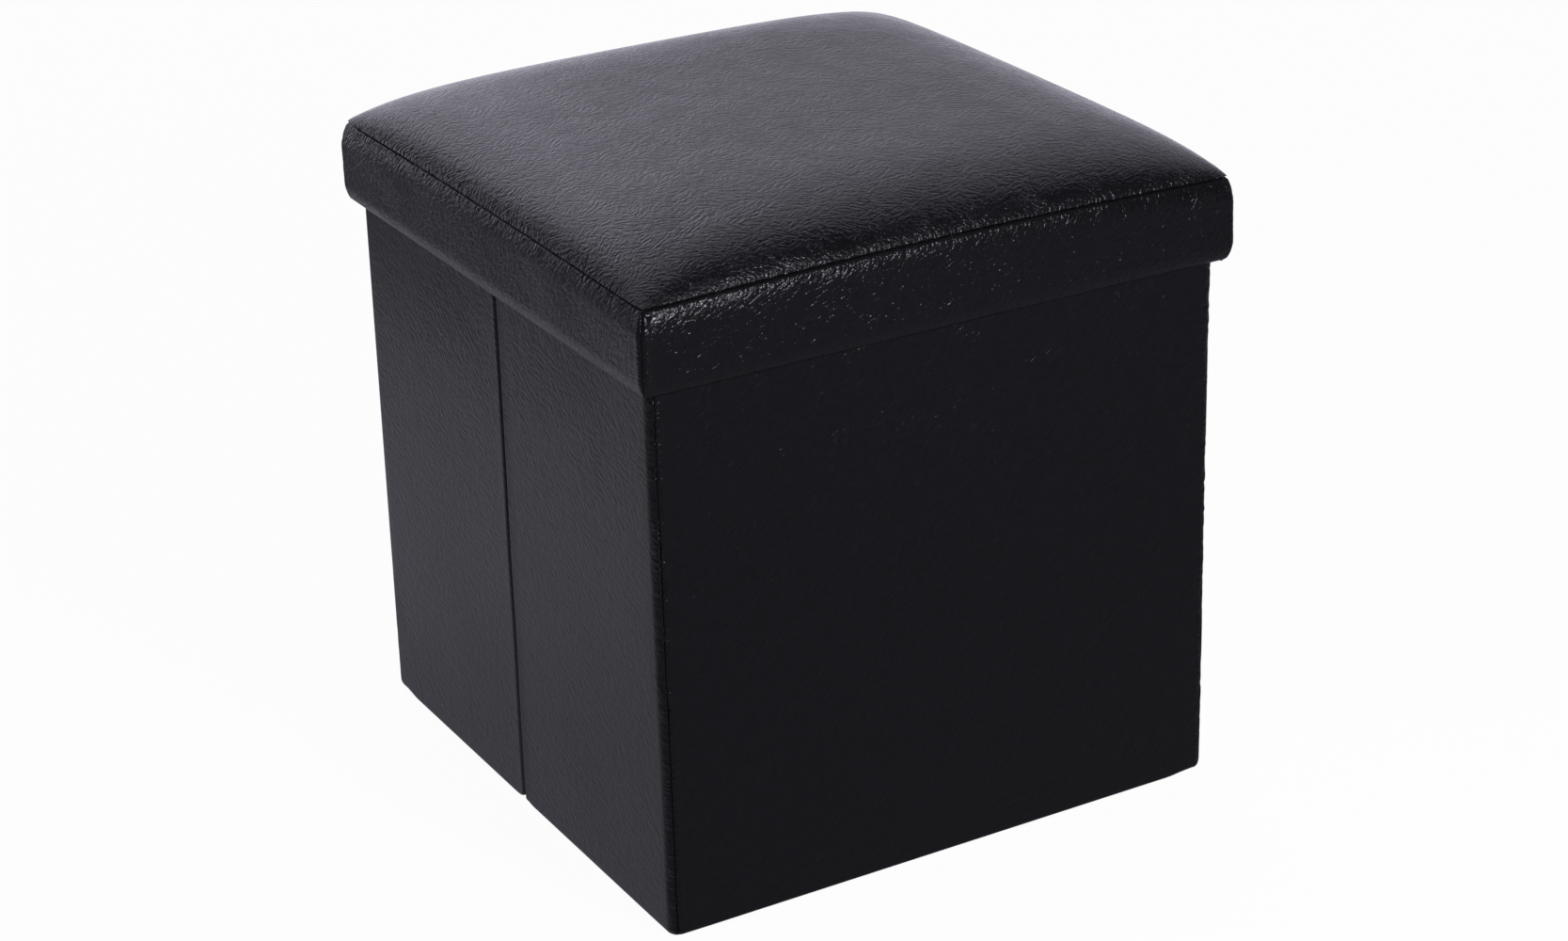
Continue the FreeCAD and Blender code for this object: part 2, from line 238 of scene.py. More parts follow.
def addRange(tree, value, fromLow, fromHigh, toLow=0.0, toHigh=1.0):
    levels = {"Value": value, "From Min": fromLow, "From Max": fromHigh, "To Min": toLow, "To Max": toHigh}
    return addNode(tree, "ShaderNodeMapRange", levels, interpolation_type="SMOOTHSTEP").outputs[0]


def addMix(tree, share, first, second):
    return addNode(tree, "ShaderNodeMix", {0: share, 6: first, 7: second}, data_type="RGBA").outputs[2]


def newGroup(name, inputs, outputs):
    tree = bpy.data.node_groups.new(name, "ShaderNodeTree")
    for label, kind, value in inputs:
        socket = tree.interface.new_socket(label, in_out="INPUT", socket_type=kind)
        if value is not None:
            socket.default_value = value
    for label in outputs:
        tree.interface.new_socket(label, in_out="OUTPUT", socket_type="NodeSocketFloat")
    return tree, tree.nodes.new("NodeGroupInput"), tree.nodes.new("NodeGroupOutput")


# Pressed leather grain: short worm-like ridges. Two noises, each stretched along a lean of its own, are laid
# over each other and a slow noise says which of them leads where. A slow warp bends the lean a little and a
# quick one makes each ridge wavy. Cloth is in metres, and Ridge, the gap between two ridges, in millimetres.
def leatherGrainGroup():
    tree, given, made = newGroup(
        "leatherGrain",
        [
            ("Cloth", "NodeSocketVector", None),
            ("Ridge", "NodeSocketFloat", 2.0),
            ("Lean", "NodeSocketFloat", 0.7),
            ("Cross Lean", "NodeSocketFloat", -0.6),
            ("Dashes", "NodeSocketFloat", 0.5),
        ],
        ["Height", "Patch"],
    )
    place = addScaled(tree, given.outputs["Cloth"], 1000.0)
    warped = place
    for scale, reach in ((0.03, 9.0), (0.28, 1.5)):
        drift = addNoise(tree, place, scale, 1.0)
        centred = addVector(tree, "SUBTRACT", drift.outputs["Color"], (0.5, 0.5, 0.5))
        warped = addVector(tree, "ADD", warped, addScaled(tree, centred, reach))
    slow = addNoise(tree, place, 0.045, 2.0).outputs[0]
    ridges = []
    for label, offset in (("Lean", 0.0), ("Cross Lean", 60.0)):
        turned = addTurned(tree, warped, given.outputs[label])
        moved = addVector(tree, "ADD", turned, (offset, 0, 0))
        thinned = addVector(tree, "MULTIPLY", moved, (0.38, 1.0, 1.0))
        sized = addVector(tree, "DIVIDE", thinned, given.outputs["Ridge"])
        worm = addNoise(tree, sized, 1.0, 0.6).outputs[0]
        ridges.append(addRange(tree, worm, 0.34, 0.62))
    leading = addRange(tree, slow, 0.38, 0.62, 0.12, 0.88)
    first = addMath(tree, "MULTIPLY", ridges[0], leading)
    rest = addMath(tree, "SUBTRACT", 1.0, leading)
    worms = addMath(tree, "MULTIPLY_ADD", ridges[1], rest, first)
    pebbled = addVector(tree, "DIVIDE", warped, given.outputs["Ridge"])
    pebble = addNode(
        tree, "ShaderNodeTexVoronoi", {"Vector": pebbled, "Scale": 1.1, "Randomness": 1.0},
        feature="DISTANCE_TO_EDGE",
    ).outputs["Distance"]
    rounded = addRange(tree, pebble, 0.0, 0.22)
    body = addMath(tree, "MULTIPLY_ADD", rounded, 0.22, addMath(tree, "MULTIPLY", worms, 0.78))
    # sparse longer dashes along the first lean, only where the slow noise is high
    turned = addTurned(tree, warped, given.outputs["Lean"])
    long = addVector(tree, "MULTIPLY", turned, (0.10, 0.7, 1.0))
    dash = addNoise(tree, long, 1.0, 1.0).outputs[0]
    sharp = addRange(tree, dash, 0.58, 0.70)
    where = addRange(tree, slow, 0.40, 0.62)
    dashes = addMath(tree, "MULTIPLY", addMath(tree, "MULTIPLY", sharp, where), given.outputs["Dashes"])
    tree.links.new(addMath(tree, "ADD", body, dashes), made.inputs["Height"])
    tree.links.new(where, made.inputs["Patch"])
    return tree


# Pressed felt: a fine fibre noise, a slow cloudy one for its shade, and a pattern of dimples
def feltGroup():
    tree, given, made = newGroup(
        "pressedFelt",
        [("Place", "NodeSocketVector", None), ("Dimple", "NodeSocketFloat", 1.6)],
        ["Height", "Shade"],
    )
    place = addScaled(tree, given.outputs["Place"], 1000.0)
    fibre = addNoise(tree, place, 1.7, 4.0).outputs[0]
    sized = addVector(tree, "DIVIDE", place, given.outputs["Dimple"])
    dimple = addNode(
        tree, "ShaderNodeTexVoronoi", {"Vector": sized, "Scale": 1.0, "Randomness": 0.25}
    ).outputs["Distance"]
    pressed = addRange(tree, dimple, 0.1, 0.5)
    height = addMath(tree, "MULTIPLY_ADD", pressed, 0.7, addMath(tree, "MULTIPLY", fibre, 0.6))
    cloud = addNoise(tree, place, 0.05, 3.0).outputs[0]
    shade = addMath(tree, "MULTIPLY_ADD", fibre, 0.6, addMath(tree, "MULTIPLY", cloud, 0.4))
    tree.links.new(height, made.inputs["Height"])
    tree.links.new(shade, made.inputs["Shade"])
    return tree


leatherGrain = leatherGrainGroup()
pressedFelt = feltGroup()


def newMaterial(name):
    material = bpy.data.materials.new(name)
    material.use_nodes = True
    tree = material.node_tree
    return material, tree, tree.nodes["Principled BSDF"]


def addBump(tree, shader, height, depth, strength):
    bump = addNode(tree, "ShaderNodeBump", {"Height": height, "Distance": depth, "Strength": strength})
    tree.links.new(bump.outputs[0], shader.inputs["Normal"])


leatherLook = {
    "deep": (0.0062, 0.0060, 0.0078, 1),
    "bright": (0.0090, 0.0087, 0.0112, 1),
    # the lighter colour of wear, which beside the skirt's top seam also paints a highlight
    "wornAndHighlight": (0.017, 0.0165, 0.019, 1),
    "roughness": (0.24, 0.26),
    "wornRoughness": 0.24,
    "specular": 0.50,
    "depth": 0.40 * mm,
    "pleat": 2.3 * mm,  # size of the small pleats across a seam, and how far they reach
    "pleatReach": 5 * mm,
}


# Black leather cloth. pleats is the depth of the pleats at a seam as a share of the grain's.
def leatherMaterial(name, ridge, lean, crossLean, dashes, strength, pleats):
    look = leatherLook
    material, tree, shader = newMaterial(name)
    cloth = addNode(tree, "ShaderNodeUVMap", uv_map="cloth").outputs[0]
    grain = addNode(tree, "ShaderNodeGroup", node_tree=leatherGrain)
    for label, value in (("Ridge", ridge), ("Lean", lean), ("Cross Lean", crossLean), ("Dashes", dashes)):
        grain.inputs[label].default_value = value
    tree.links.new(cloth, grain.inputs["Cloth"])
    height, patch = grain.outputs["Height"], grain.outputs["Patch"]
    # The rub attribute lightens the colour and smooths the leather: wear, and along the skirt's top seam a
    # painted highlight
    rubAndHighlight = addNode(tree, "ShaderNodeAttribute", attribute_name="rubAndHighlight").outputs["Fac"]
    tone = addMix(tree, addRange(tree, height, 0.1, 1.0), look["deep"], look["bright"])
    tree.links.new(addMix(tree, rubAndHighlight, tone, look["wornAndHighlight"]), shader.inputs["Base Color"])
    low, high = look["roughness"]
    rough = addRange(tree, patch, 0.0, 1.0, high, low)
    wornAndHighlight = addMath(tree, "MULTIPLY", addMath(tree, "SUBTRACT", look["wornRoughness"], rough), rubAndHighlight)
    tree.links.new(addMath(tree, "ADD", rough, wornAndHighlight), shader.inputs["Roughness"])
    shader.inputs["Specular IOR Level"].default_value = look["specular"]
    # the pleats are narrow along the seam and long away from it, and some stretches have none
    seam = addNode(tree, "ShaderNodeUVMap", uv_map="seam").outputs[0]
    place = addNode(tree, "ShaderNodeSeparateXYZ", {"Vector": seam})
    along = addMath(tree, "DIVIDE", place.outputs["X"], look["pleat"])
    away = addMath(tree, "DIVIDE", place.outputs["Y"], 7 * look["pleat"])
    spot = addNode(tree, "ShaderNodeCombineXYZ", {"X": along, "Y": away}).outputs[0]
    narrow = addNoise(tree, spot, 1.0, 1.0).outputs[0]
    often = addNoise(tree, spot, 0.09, 1.0).outputs[0]
    fade = addRange(tree, place.outputs["Y"], 0.2 * mm, look["pleatReach"], pleats, 0.0)
    fade = addMath(tree, "MULTIPLY", fade, addRange(tree, often, 0.36, 0.56, 0.25, 1.0))
    pleated = addMath(tree, "MULTIPLY_ADD", addRange(tree, narrow, 0.30, 0.70), fade, height)
    addBump(tree, shader, pleated, look["depth"], strength)
    return material


def feltMaterial(name, dark, light, dimple):
    material, tree, shader = newMaterial(name)
    place = addNode(tree, "ShaderNodeTexCoord").outputs["Object"]
    felt = addNode(tree, "ShaderNodeGroup", {"Place": place, "Dimple": dimple}, node_tree=pressedFelt)
    tree.links.new(addMix(tree, felt.outputs["Shade"], dark, light), shader.inputs["Base Color"])
    shader.inputs["Roughness"].default_value = 0.92
    shader.inputs["Sheen Weight"].default_value = 0.25
    shader.inputs["Sheen Roughness"].default_value = 0.6
    shader.inputs["Specular IOR Level"].default_value = 0.25
    addBump(tree, shader, felt.outputs["Height"], 0.18 * mm, 0.7)
    return material


# Pressed wood fibre: a brown ground with short pale flecks
def boardMaterial():
    material, tree, shader = newMaterial("fibreboard")
    place = addScaled(tree, addNode(tree, "ShaderNodeTexCoord").outputs["Object"], 1000.0)
    fleck = addNoise(tree, place, 0.9, 5.0).outputs[0]
    share = addRange(tree, fleck, 0.35, 0.7)
    colour = addMix(tree, share, (0.20, 0.125, 0.070, 1), (0.42, 0.29, 0.18, 1))
    tree.links.new(colour, shader.inputs["Base Color"])
    shader.inputs["Roughness"].default_value = 0.75
    addBump(tree, shader, fleck, 0.1 * mm, 0.4)
    return material


# Woven ribbon and thread: ribs both ways, the product of a sine of each cloth coordinate
def ribbedMaterial(name, colour, pitch):
    material, tree, shader = newMaterial(name)
    cloth = addScaled(tree, addNode(tree, "ShaderNodeUVMap", uv_map="cloth").outputs[0], 1.0 / pitch)
    parts = addNode(tree, "ShaderNodeSeparateXYZ", {"Vector": cloth})
    ribs = [addMath(tree, "SINE", addMath(tree, "MULTIPLY", part, 2 * math.pi)) for part in parts.outputs[:2]]
    height = addMath(tree, "MULTIPLY_ADD", *ribs, 1.0)
    lighter = tuple(min(1.0, part * 1.9) for part in colour[:3]) + (1,)
    woven = addMix(tree, addRange(tree, height, 0.0, 2.0), colour, lighter)
    tree.links.new(woven, shader.inputs["Base Color"])
    shader.inputs["Roughness"].default_value = 0.7
    addBump(tree, shader, height, pitch * 0.2, 0.6)
    return material


materials = {
    "box": leatherMaterial("boxLeather", 2.1, lean=-0.75, crossLean=-0.3, dashes=1.0, strength=0.42,
                           pleats=6.5),
    "skirt": leatherMaterial("skirtLeather", 2.0, lean=-0.9, crossLean=-0.4, dashes=0.2, strength=0.75,
                             pleats=1.7),
    "cushion": leatherMaterial("cushionLeather", 1.9, lean=-0.5, crossLean=0.7, dashes=0.1, strength=0.80,
                               pleats=1.7),
    "lining": feltMaterial("liningFelt", (0.012, 0.012, 0.013, 1), (0.035, 0.035, 0.037, 1), 1.8),
    "board": boardMaterial(),
    "ribbon": ribbedMaterial("ribbonWeave", (0.010, 0.010, 0.011, 1), 0.9 * mm),
    "thread": ribbedMaterial("thread", (0.012, 0.012, 0.013, 1), 0.5 * mm),
}
print("materials are mixed")

# the walls of the box
wallLook = {
    "lip": 1.9 * mm,  # radius of the top edge
    "rowGap": 5 * mm,
    "fineGap": 1.9 * mm,
    "seamRoll": 0.85 * mm,
    "wave": 0.22 * mm,  # how far the leather wanders off the board
    "waveSize": 55 * mm,
    "waveEnd": (0.172, 0.176),  # places along a side wall between which that fades at a corner
    "pucker": 0.50 * mm,
    "cornerPucker": 0.62 * mm,
    "puckerSize": 3.2 * mm,
    "puckerReach": 4 * mm,
    "creaseDepth": 2.4 * mm,
    "creaseWidth": 1.15 * mm,
    "creaseLip": 0.35 * mm,
    "bindingLow": 15 * mm,  # how far the leather turns down inside the wall
    "bindingProud": 0.9 * mm,
    "hemRadius": 3 * mm,
    "hemSlack": 6.5 * mm,  # the same at the corners where the hem has slumped
    "hemDraw": 4.3 * mm,  # the most that a hem draws in at its sole
    "hemFade": 24 * mm,
    "bulge": 2.8 * mm,  # how far the front's foot stands forward, and up to what height
    "bulgeHigh": 300 * mm,
    "bulgeFrom": 0.150,  # how far from the middle it begins on the side walls
    "seamBand": 1.2 * mm,  # beside a corner seam, where the mesh is finer
    "creaseLift": 3.7 * mm,
    "creaseLiftReach": 5 * mm,
}


# A quarter of the plan: along the side wall, round the corner's arc and back along the end wall.
# run is the distance from the crease, and the turn grows from 0 to 90 degrees on the arc.
arcStart = boxSize["outer"] - boxSize["cornerRadius"]
seamRun = arcStart + boxSize["cornerRadius"] * boxSize["seamTurn"]
middleRun = 2 * arcStart + boxSize["cornerRadius"] * quarterTurn


def quarterPath(run):
    radius = boxSize["cornerRadius"]
    turn = np.clip((run - arcStart) / radius, 0, quarterTurn)
    past = np.clip(run - arcStart - radius * quarterTurn, 0, None)
    x = arcStart + radius * np.cos(turn) - past
    y = np.minimum(run, arcStart) + radius * np.sin(turn)
    return x, y, np.cos(turn), np.sin(turn)


# The plan of a front or back wall from corner seam to corner seam, with run measured from its middle
def endPath(run):
    x, y, outX, outY = quarterPath(middleRun - np.abs(run))
    way = np.where(run < 0, -1, 1)
    return x * way, y, outX * way, outY


# The leather wanders a little off the board between its top and its hem
def leatherWave(run, height, seed):
    calm = ease(height, 4 * mm, 40 * mm) * (1 - ease(height, boxSize["top"] - 20 * mm, boxSize["top"]))
    wide = softNoise(run, height, wallLook["waveSize"], seed)
    return wallLook["wave"] * calm * wide


# Short puckers that fade away from a sewn seam
def seamPucker(distance, along, depth, seed):
    pull = softNoise(along, distance * 0.3, wallLook["puckerSize"], seed)
    often = ease(softNoise(along, 0 * distance, 9 * wallLook["puckerSize"], seed + 5), -0.5, 0.4)
    return depth * (0.5 + pull) * often * np.exp(-((distance / wallLook["puckerReach"]) ** 2))


# The groove of the crease with a proud lip on each side, the front one prouder
def creaseRelief(run, end):
    look = wallLook
    groove = look["creaseDepth"] * np.exp(-np.abs(run / look["creaseWidth"]) ** 1.6)
    frontward = np.where(run * end < 0, 1.0, 0.35)
    lip = look["creaseLip"] * frontward * hump(np.abs(run), 3.2 * mm, 1.6 * mm)
    return groove - lip


# The upright loop of a leather sleeve: up the outer face, over the lip and down the inner face, where the
# leather is proud for a few millimetres as a binding. Returns insets, heights, both for each place along
# run, and what is outside.
def sleeveLoop(low, run, gap=wallLook["rowGap"]):
    look = wallLook
    top = boxSize["top"]
    turn = np.linspace(0, quarterTurn, 6)
    rows = np.linspace(low, top - look["lip"], int((top - low) / gap))
    height = np.concatenate([rows, (top - look["lip"] + look["lip"] * np.sin(turn))[1:]])
    inset = np.concatenate([0 * rows, (look["lip"] * (1 - np.cos(turn)))[1:]])
    binding = top - look["bindingLow"]
    inner = boxSize["thick"] + look["bindingProud"] * ease(height, binding - 2 * mm, binding) - inset
    outside = np.concatenate([np.ones(len(rows)), np.linspace(1, 0, 6)[1:], np.zeros(len(height))])
    inset, height = np.concatenate([inset, inner[::-1]]), np.concatenate([height, height[::-1]])
    return inset + 0 * run[:, None], height + 0 * run[:, None], outside


# The radius of the rolled bottom edge at a distance from the upright corner
def hemRadiusAt(distance, side, end):
    slack = 0.2 * mm if (side, end) == (left, front) else wallLook["hemSlack"] - wallLook["hemRadius"]
    return wallLook["hemRadius"] + slack * (1 - ease(distance, 0, wallLook["hemFade"]))


# How far that edge is drawn in at a height: a quarter of an ellipse
def hemDrawn(radius, height):
    short = np.clip(1 - height / radius, 0, 1)
    return np.minimum(radius, wallLook["hemDraw"]) * (1 - np.sqrt(1 - short**2))


# The upright loop of a hem: from the middle of its sole out, round the outer edge and up. The same inside.
def hemLoop(radius):
    radius, thick, high = radius[:, None], boxSize["wall"], boxSize["hemTop"]
    limit = np.arccos(np.clip(1 - high / radius, 0, 1))
    turn = limit * np.linspace(0, 1, 9)[None, :]
    drawn = np.minimum(radius, wallLook["hemDraw"])
    middle = np.maximum(thick / 2, drawn)
    outerInset = np.hstack([middle, drawn * (1 - np.sin(turn)), drawn * (1 - np.sin(limit))])
    outerHeight = np.hstack([0 * radius, radius * (1 - np.cos(turn)), 0 * radius + high])
    turn = np.linspace(0, quarterTurn, 9)[None, :]
    small = 0.6 * mm
    innerInset = np.hstack([middle + 0.1 * mm, thick - small * (1 - np.sin(turn)) + 0 * radius,
                            0 * radius + thick])
    innerHeight = np.hstack([0 * radius, small * (1 - np.cos(turn)) + 0 * radius, 0 * radius + high])
    inset = np.hstack([outerInset, innerInset[:, ::-1]])
    height = np.hstack([outerHeight, innerHeight[:, ::-1]])
    return inset, height


# The front wall's leather and hem stand forward at the foot. outside is 1 where a loop faces outwards.
def bulged(points, outside):
    y, z = points[..., 1], points[..., 2]
    points[..., 1] -= (wallLook["bulge"] * (1 - ease(z, 0, wallLook["bulgeHigh"])) * outside
                       * ease(-y, wallLook["bulgeFrom"], boxSize["outer"] - boxSize["cornerRadius"]))
    return points


# Stands a loop on the plan of one quarter or end, mirrored to its place
def wallPoints(path, inset, height, side, end, outside):
    return bulged(standOn(path, inset, height) * np.array([side, end, 1]), outside)


def clothOf(run, inset, height):
    return np.stack([run[:, None] + 0 * height, height - inset], axis=-1)


def seamOf(toSeam, height, outside):
    return np.stack([height, toSeam + 1 - outside + 0 * height], axis=-1)


# The hem under a wall
def buildHem(name, body, path, run, side, end, inset, height, dip):
    dip = dip * (inset < boxSize["wall"] / 2)
    outer = 1 - ease(inset, 0, wallLook["hemDraw"])
    points = wallPoints(path, inset + dip, height, side, end, outer)
    hem = makePiece(f"{name}_rolled_hem", points, clothOf(run, inset, height), "box")
    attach(hem, body)
    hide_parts(f"{name}_hem")
    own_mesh(hem)


# One half of a side wall: leather sleeve over the board, and the hem under it
def buildSideHalf(side, end):
    name = f"{sideNames[side]}_{halfNames[end]}"
    run = np.linspace(boxSize["creaseHalf"], boxSize["sideEnd"], 42)
    inset, height, outside = sleeveLoop(boxSize["hemTop"], run)
    relief = leatherWave(run[:, None] * end, height, 3 + side) + creaseRelief(run, end)[:, None]
    relief = relief + hemDrawn(hemRadiusAt(arcStart - run, side, end)[:, None], height)
    points = wallPoints(quarterPath(run), inset + relief * outside, height, side, end, outside)
    wornAndHighlight = 0.5 * hump(height, boxSize["top"], 3 * mm) * outside
    sleeve = makePiece(f"{name}_sleeve", points, clothOf(run * end + side, inset, height), "box", wornAndHighlight)
    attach(sleeve, name)
    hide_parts(f"{name}_leather")

    run = np.concatenate([np.linspace(0.6 * mm, 8 * mm, 14), np.linspace(12 * mm, boxSize["sideEnd"], 36)])
    inset, height = hemLoop(hemRadiusAt(arcStart - run, side, end))
    lift = wallLook["creaseLift"] * hump(run, 0, wallLook["creaseLiftReach"])[:, None]
    height = height + lift * (1 - height / boxSize["hemTop"])
    dip = np.minimum(creaseRelief(run, end)[:, None], 1.5 * mm)
    buildHem(name, name, quarterPath(run), run * end + side, side, end, inset, height, dip)


# The strip in the crease, from one half to the other
def buildCrease(side):
    run = np.linspace(-boxSize["creaseHalf"], boxSize["creaseHalf"], 41)
    inset, height, outside = sleeveLoop(boxSize["hemTop"] - 0.2 * mm, run)
    groove = creaseRelief(run, back)[:, None] * (outside > 0)
    dip = 1.2 * mm * hump(run, 0, 1.6 * mm)[:, None] * ease(height, boxSize["top"] - 4 * mm, boxSize["top"])
    wave = leatherWave(run[:, None], height, 3 + side) * outside
    path = (0 * run + boxSize["outer"], run, 0 * run + 1, 0 * run)
    points = standOn(path, inset + groove + wave, height - dip) * np.array([side, 1, 1])
    wornAndHighlight = 0.35 * hump(np.abs(run), 3 * mm, 1.2 * mm)[:, None] * outside + 0 * height
    name = sideNames[side]
    strip = makePiece(f"{name}_crease_strip", points, clothOf(run + side, inset, height), "box", wornAndHighlight)
    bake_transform(strip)


# The leather round an upright corner, with the part of the hem under it
def buildCorner(side, end):
    name = f"{wallNames[end]}_{sideNames[side]}_corner"
    look = wallLook
    run = np.concatenate([
        np.linspace(boxSize["sideEnd"], arcStart, 4)[:-1],
        np.linspace(arcStart, seamRun - look["seamBand"], 16)[:-1],
        np.linspace(seamRun - look["seamBand"], seamRun, 8),
    ])
    thick = boxSize["thick"]
    turn = np.linspace(0, quarterTurn, 10)
    share = np.linspace(0, 1, 240)[1:]
    lipTurn = np.linspace(0, quarterTurn, 6)[1:]
    bend = boxSize["top"] - look["lip"]
    radius = hemRadiusAt(0, side, end)
    drawn = min(radius, look["hemDraw"])
    outerInset = np.concatenate([drawn * (1 - np.sin(turn)), 0 * share, look["lip"] * (1 - np.cos(lipTurn))])
    outerHeight = np.concatenate([radius * (1 - np.cos(turn)), radius + (bend - radius) * share,
                                  bend + look["lip"] * np.sin(lipTurn)])
    innerInset = thick - 0.3 * outerInset
    inset = np.concatenate([outerInset, innerInset[::-1]]) + 0 * run[:, None]
    height = np.concatenate([outerHeight, outerHeight[::-1]]) + 0 * run[:, None]
    outside = np.concatenate([1 + 0 * outerInset, 0 * innerInset])
    toSeam = (seamRun - run)[:, None]
    relief = leatherWave(run[:, None] * end, height, 3 + side) * (1 - ease(run, *look["waveEnd"]))[:, None]
    relief = relief + rolledEdge(toSeam, look["seamRoll"])
    relief = relief + seamPucker(toSeam, height, look["cornerPucker"], 21 + side + 2 * end)
    points = wallPoints(quarterPath(run), inset + relief * outside, height, side, end, outside)
    wornAndHighlight = 0.25 * ease(run, arcStart, seamRun)[:, None] * outside
    wornAndHighlight = wornAndHighlight + 0.5 * hump(height, boxSize["top"], 3 * mm) * outside
    strip = makePiece(f"{name}_strip", points, clothOf(run * end + side, inset, height), "box", wornAndHighlight,
                      seamOf(toSeam, height, outside))
    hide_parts(f"{name}_leather")
    if (side, end) == (right, front):
        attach(strip, "front_wall")  # the fold's tree is open at this corner
        return
    if end == back:
        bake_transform(strip)
    else:
        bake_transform(strip)


# The front or back wall: leather sleeve between the two corner seams, and its hem
def buildEndWall(end):
    name = wallNames[end]
    look = wallLook
    half = middleRun - seamRun
    flat = middleRun - arcStart - boxSize["cornerRadius"] * quarterTurn
    quarter = np.concatenate([np.linspace(0, flat, 44)[:-1],
                              np.linspace(flat, half - look["seamBand"], 8)[:-1],
                              np.linspace(half - look["seamBand"], half, 8)])
    run = np.concatenate([-quarter[:0:-1], quarter])
    inset, height, outside = sleeveLoop(boxSize["hemTop"], run, look["fineGap"])
    toSeam = (half - np.abs(run))[:, None]
    edge = rolledEdge(toSeam, look["seamRoll"])
    onRight = np.where(run > 0, 1, 0)[:, None]
    pucker = seamPucker(toSeam, height, look["pucker"], 31 + end) * onRight
    pucker = pucker + seamPucker(toSeam, height, look["pucker"], 41 + end) * (1 - onRight)
    radius = np.where(run < 0, *(hemRadiusAt(half - np.abs(run), side, end) for side in (left, right)))
    relief = leatherWave(run[:, None], height, 11 + end) + edge + pucker + hemDrawn(radius[:, None], height)
    points = wallPoints(endPath(run), inset + relief * outside, height, 1, end, outside)
    wornAndHighlight = 0.5 * hump(height, boxSize["top"], 3 * mm) * outside
    sleeve = makePiece(f"{name}_sleeve", points, clothOf(run + 3 * end, inset, height), "box", wornAndHighlight,
                       seamOf(toSeam, height, outside))
    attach(sleeve, f"{name}_wall")
    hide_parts(f"{name}_leather")
    inset, height = hemLoop(radius)
    buildHem(name, f"{name}_wall", endPath(run), run + 3 * end, 1, end, inset, height, edge)


for side in (left, right):
    buildCrease(side)
    for end in (front, back):
        buildSideHalf(side, end)
        buildCorner(side, end)
for end in (front, back):
    buildEndWall(end)
print("walls are covered")

# the lid's skirt
skirtLook = {
    "cornerRadius": 2.8 * mm,
    "seamDip": 1.2 * mm,
    "seamRoll": 1.3 * mm,
    "bow": 3.2 * mm,  # how far the seam rises at mid-span over its corners
    "sideBow": 1.6 * mm,
    "proud": 2.0 * mm,  # how far the leather stands out over the stiff strip
    "shoulder": (2.4 * mm, 4.2 * mm),  # how far it leans in at the seam, at mid-span and at a corner
    "shoulderReach": (11 * mm, 15 * mm),
    "hemInset": 3.8 * mm,
    "hemReach": 12 * mm,
    "hemRadius": 3.0 * mm,
    "cornerDip": 1.0 * mm,  # radius of a corner edge, and how much more it has at the seam
    "cornerMore": 2.2 * mm,
    "secondLine": 9.5 * mm,  # the edge of the seam allowance, felt through the leather
    "secondDepth": 0.30 * mm,
    "endBand": 3 * mm,  # beside a corner edge, where the mesh is finer
    "turnUp": 9 * mm,
    "thick": 4.6 * mm,
    "wave": 0.30 * mm,
    "pinch": 0.22 * mm,  # small folds below the seam, and beside the corner edges
    "gather": 0.15 * mm,
}


# How high the top seam runs over its corners: one minus the square of the share of the way to a corner
def seamHeight(share, quarter):
    bow = skirtLook["bow"] if quarter % 2 == 0 else skirtLook["sideBow"]
    return lidSize["seam"] - 1.0 * mm + bow * (1 - share**2)


def turnedQuarter(points, quarter):
    x, y, z = points[..., 0], points[..., 1], points[..., 2]
    for _ in range(quarter):
        x, y = -y, x
    return np.stack([x, y, z], axis=-1)


# The value between the two of a pair at a share of the way
def between(pair, share):
    return pair[0] + (pair[1] - pair[0]) * share


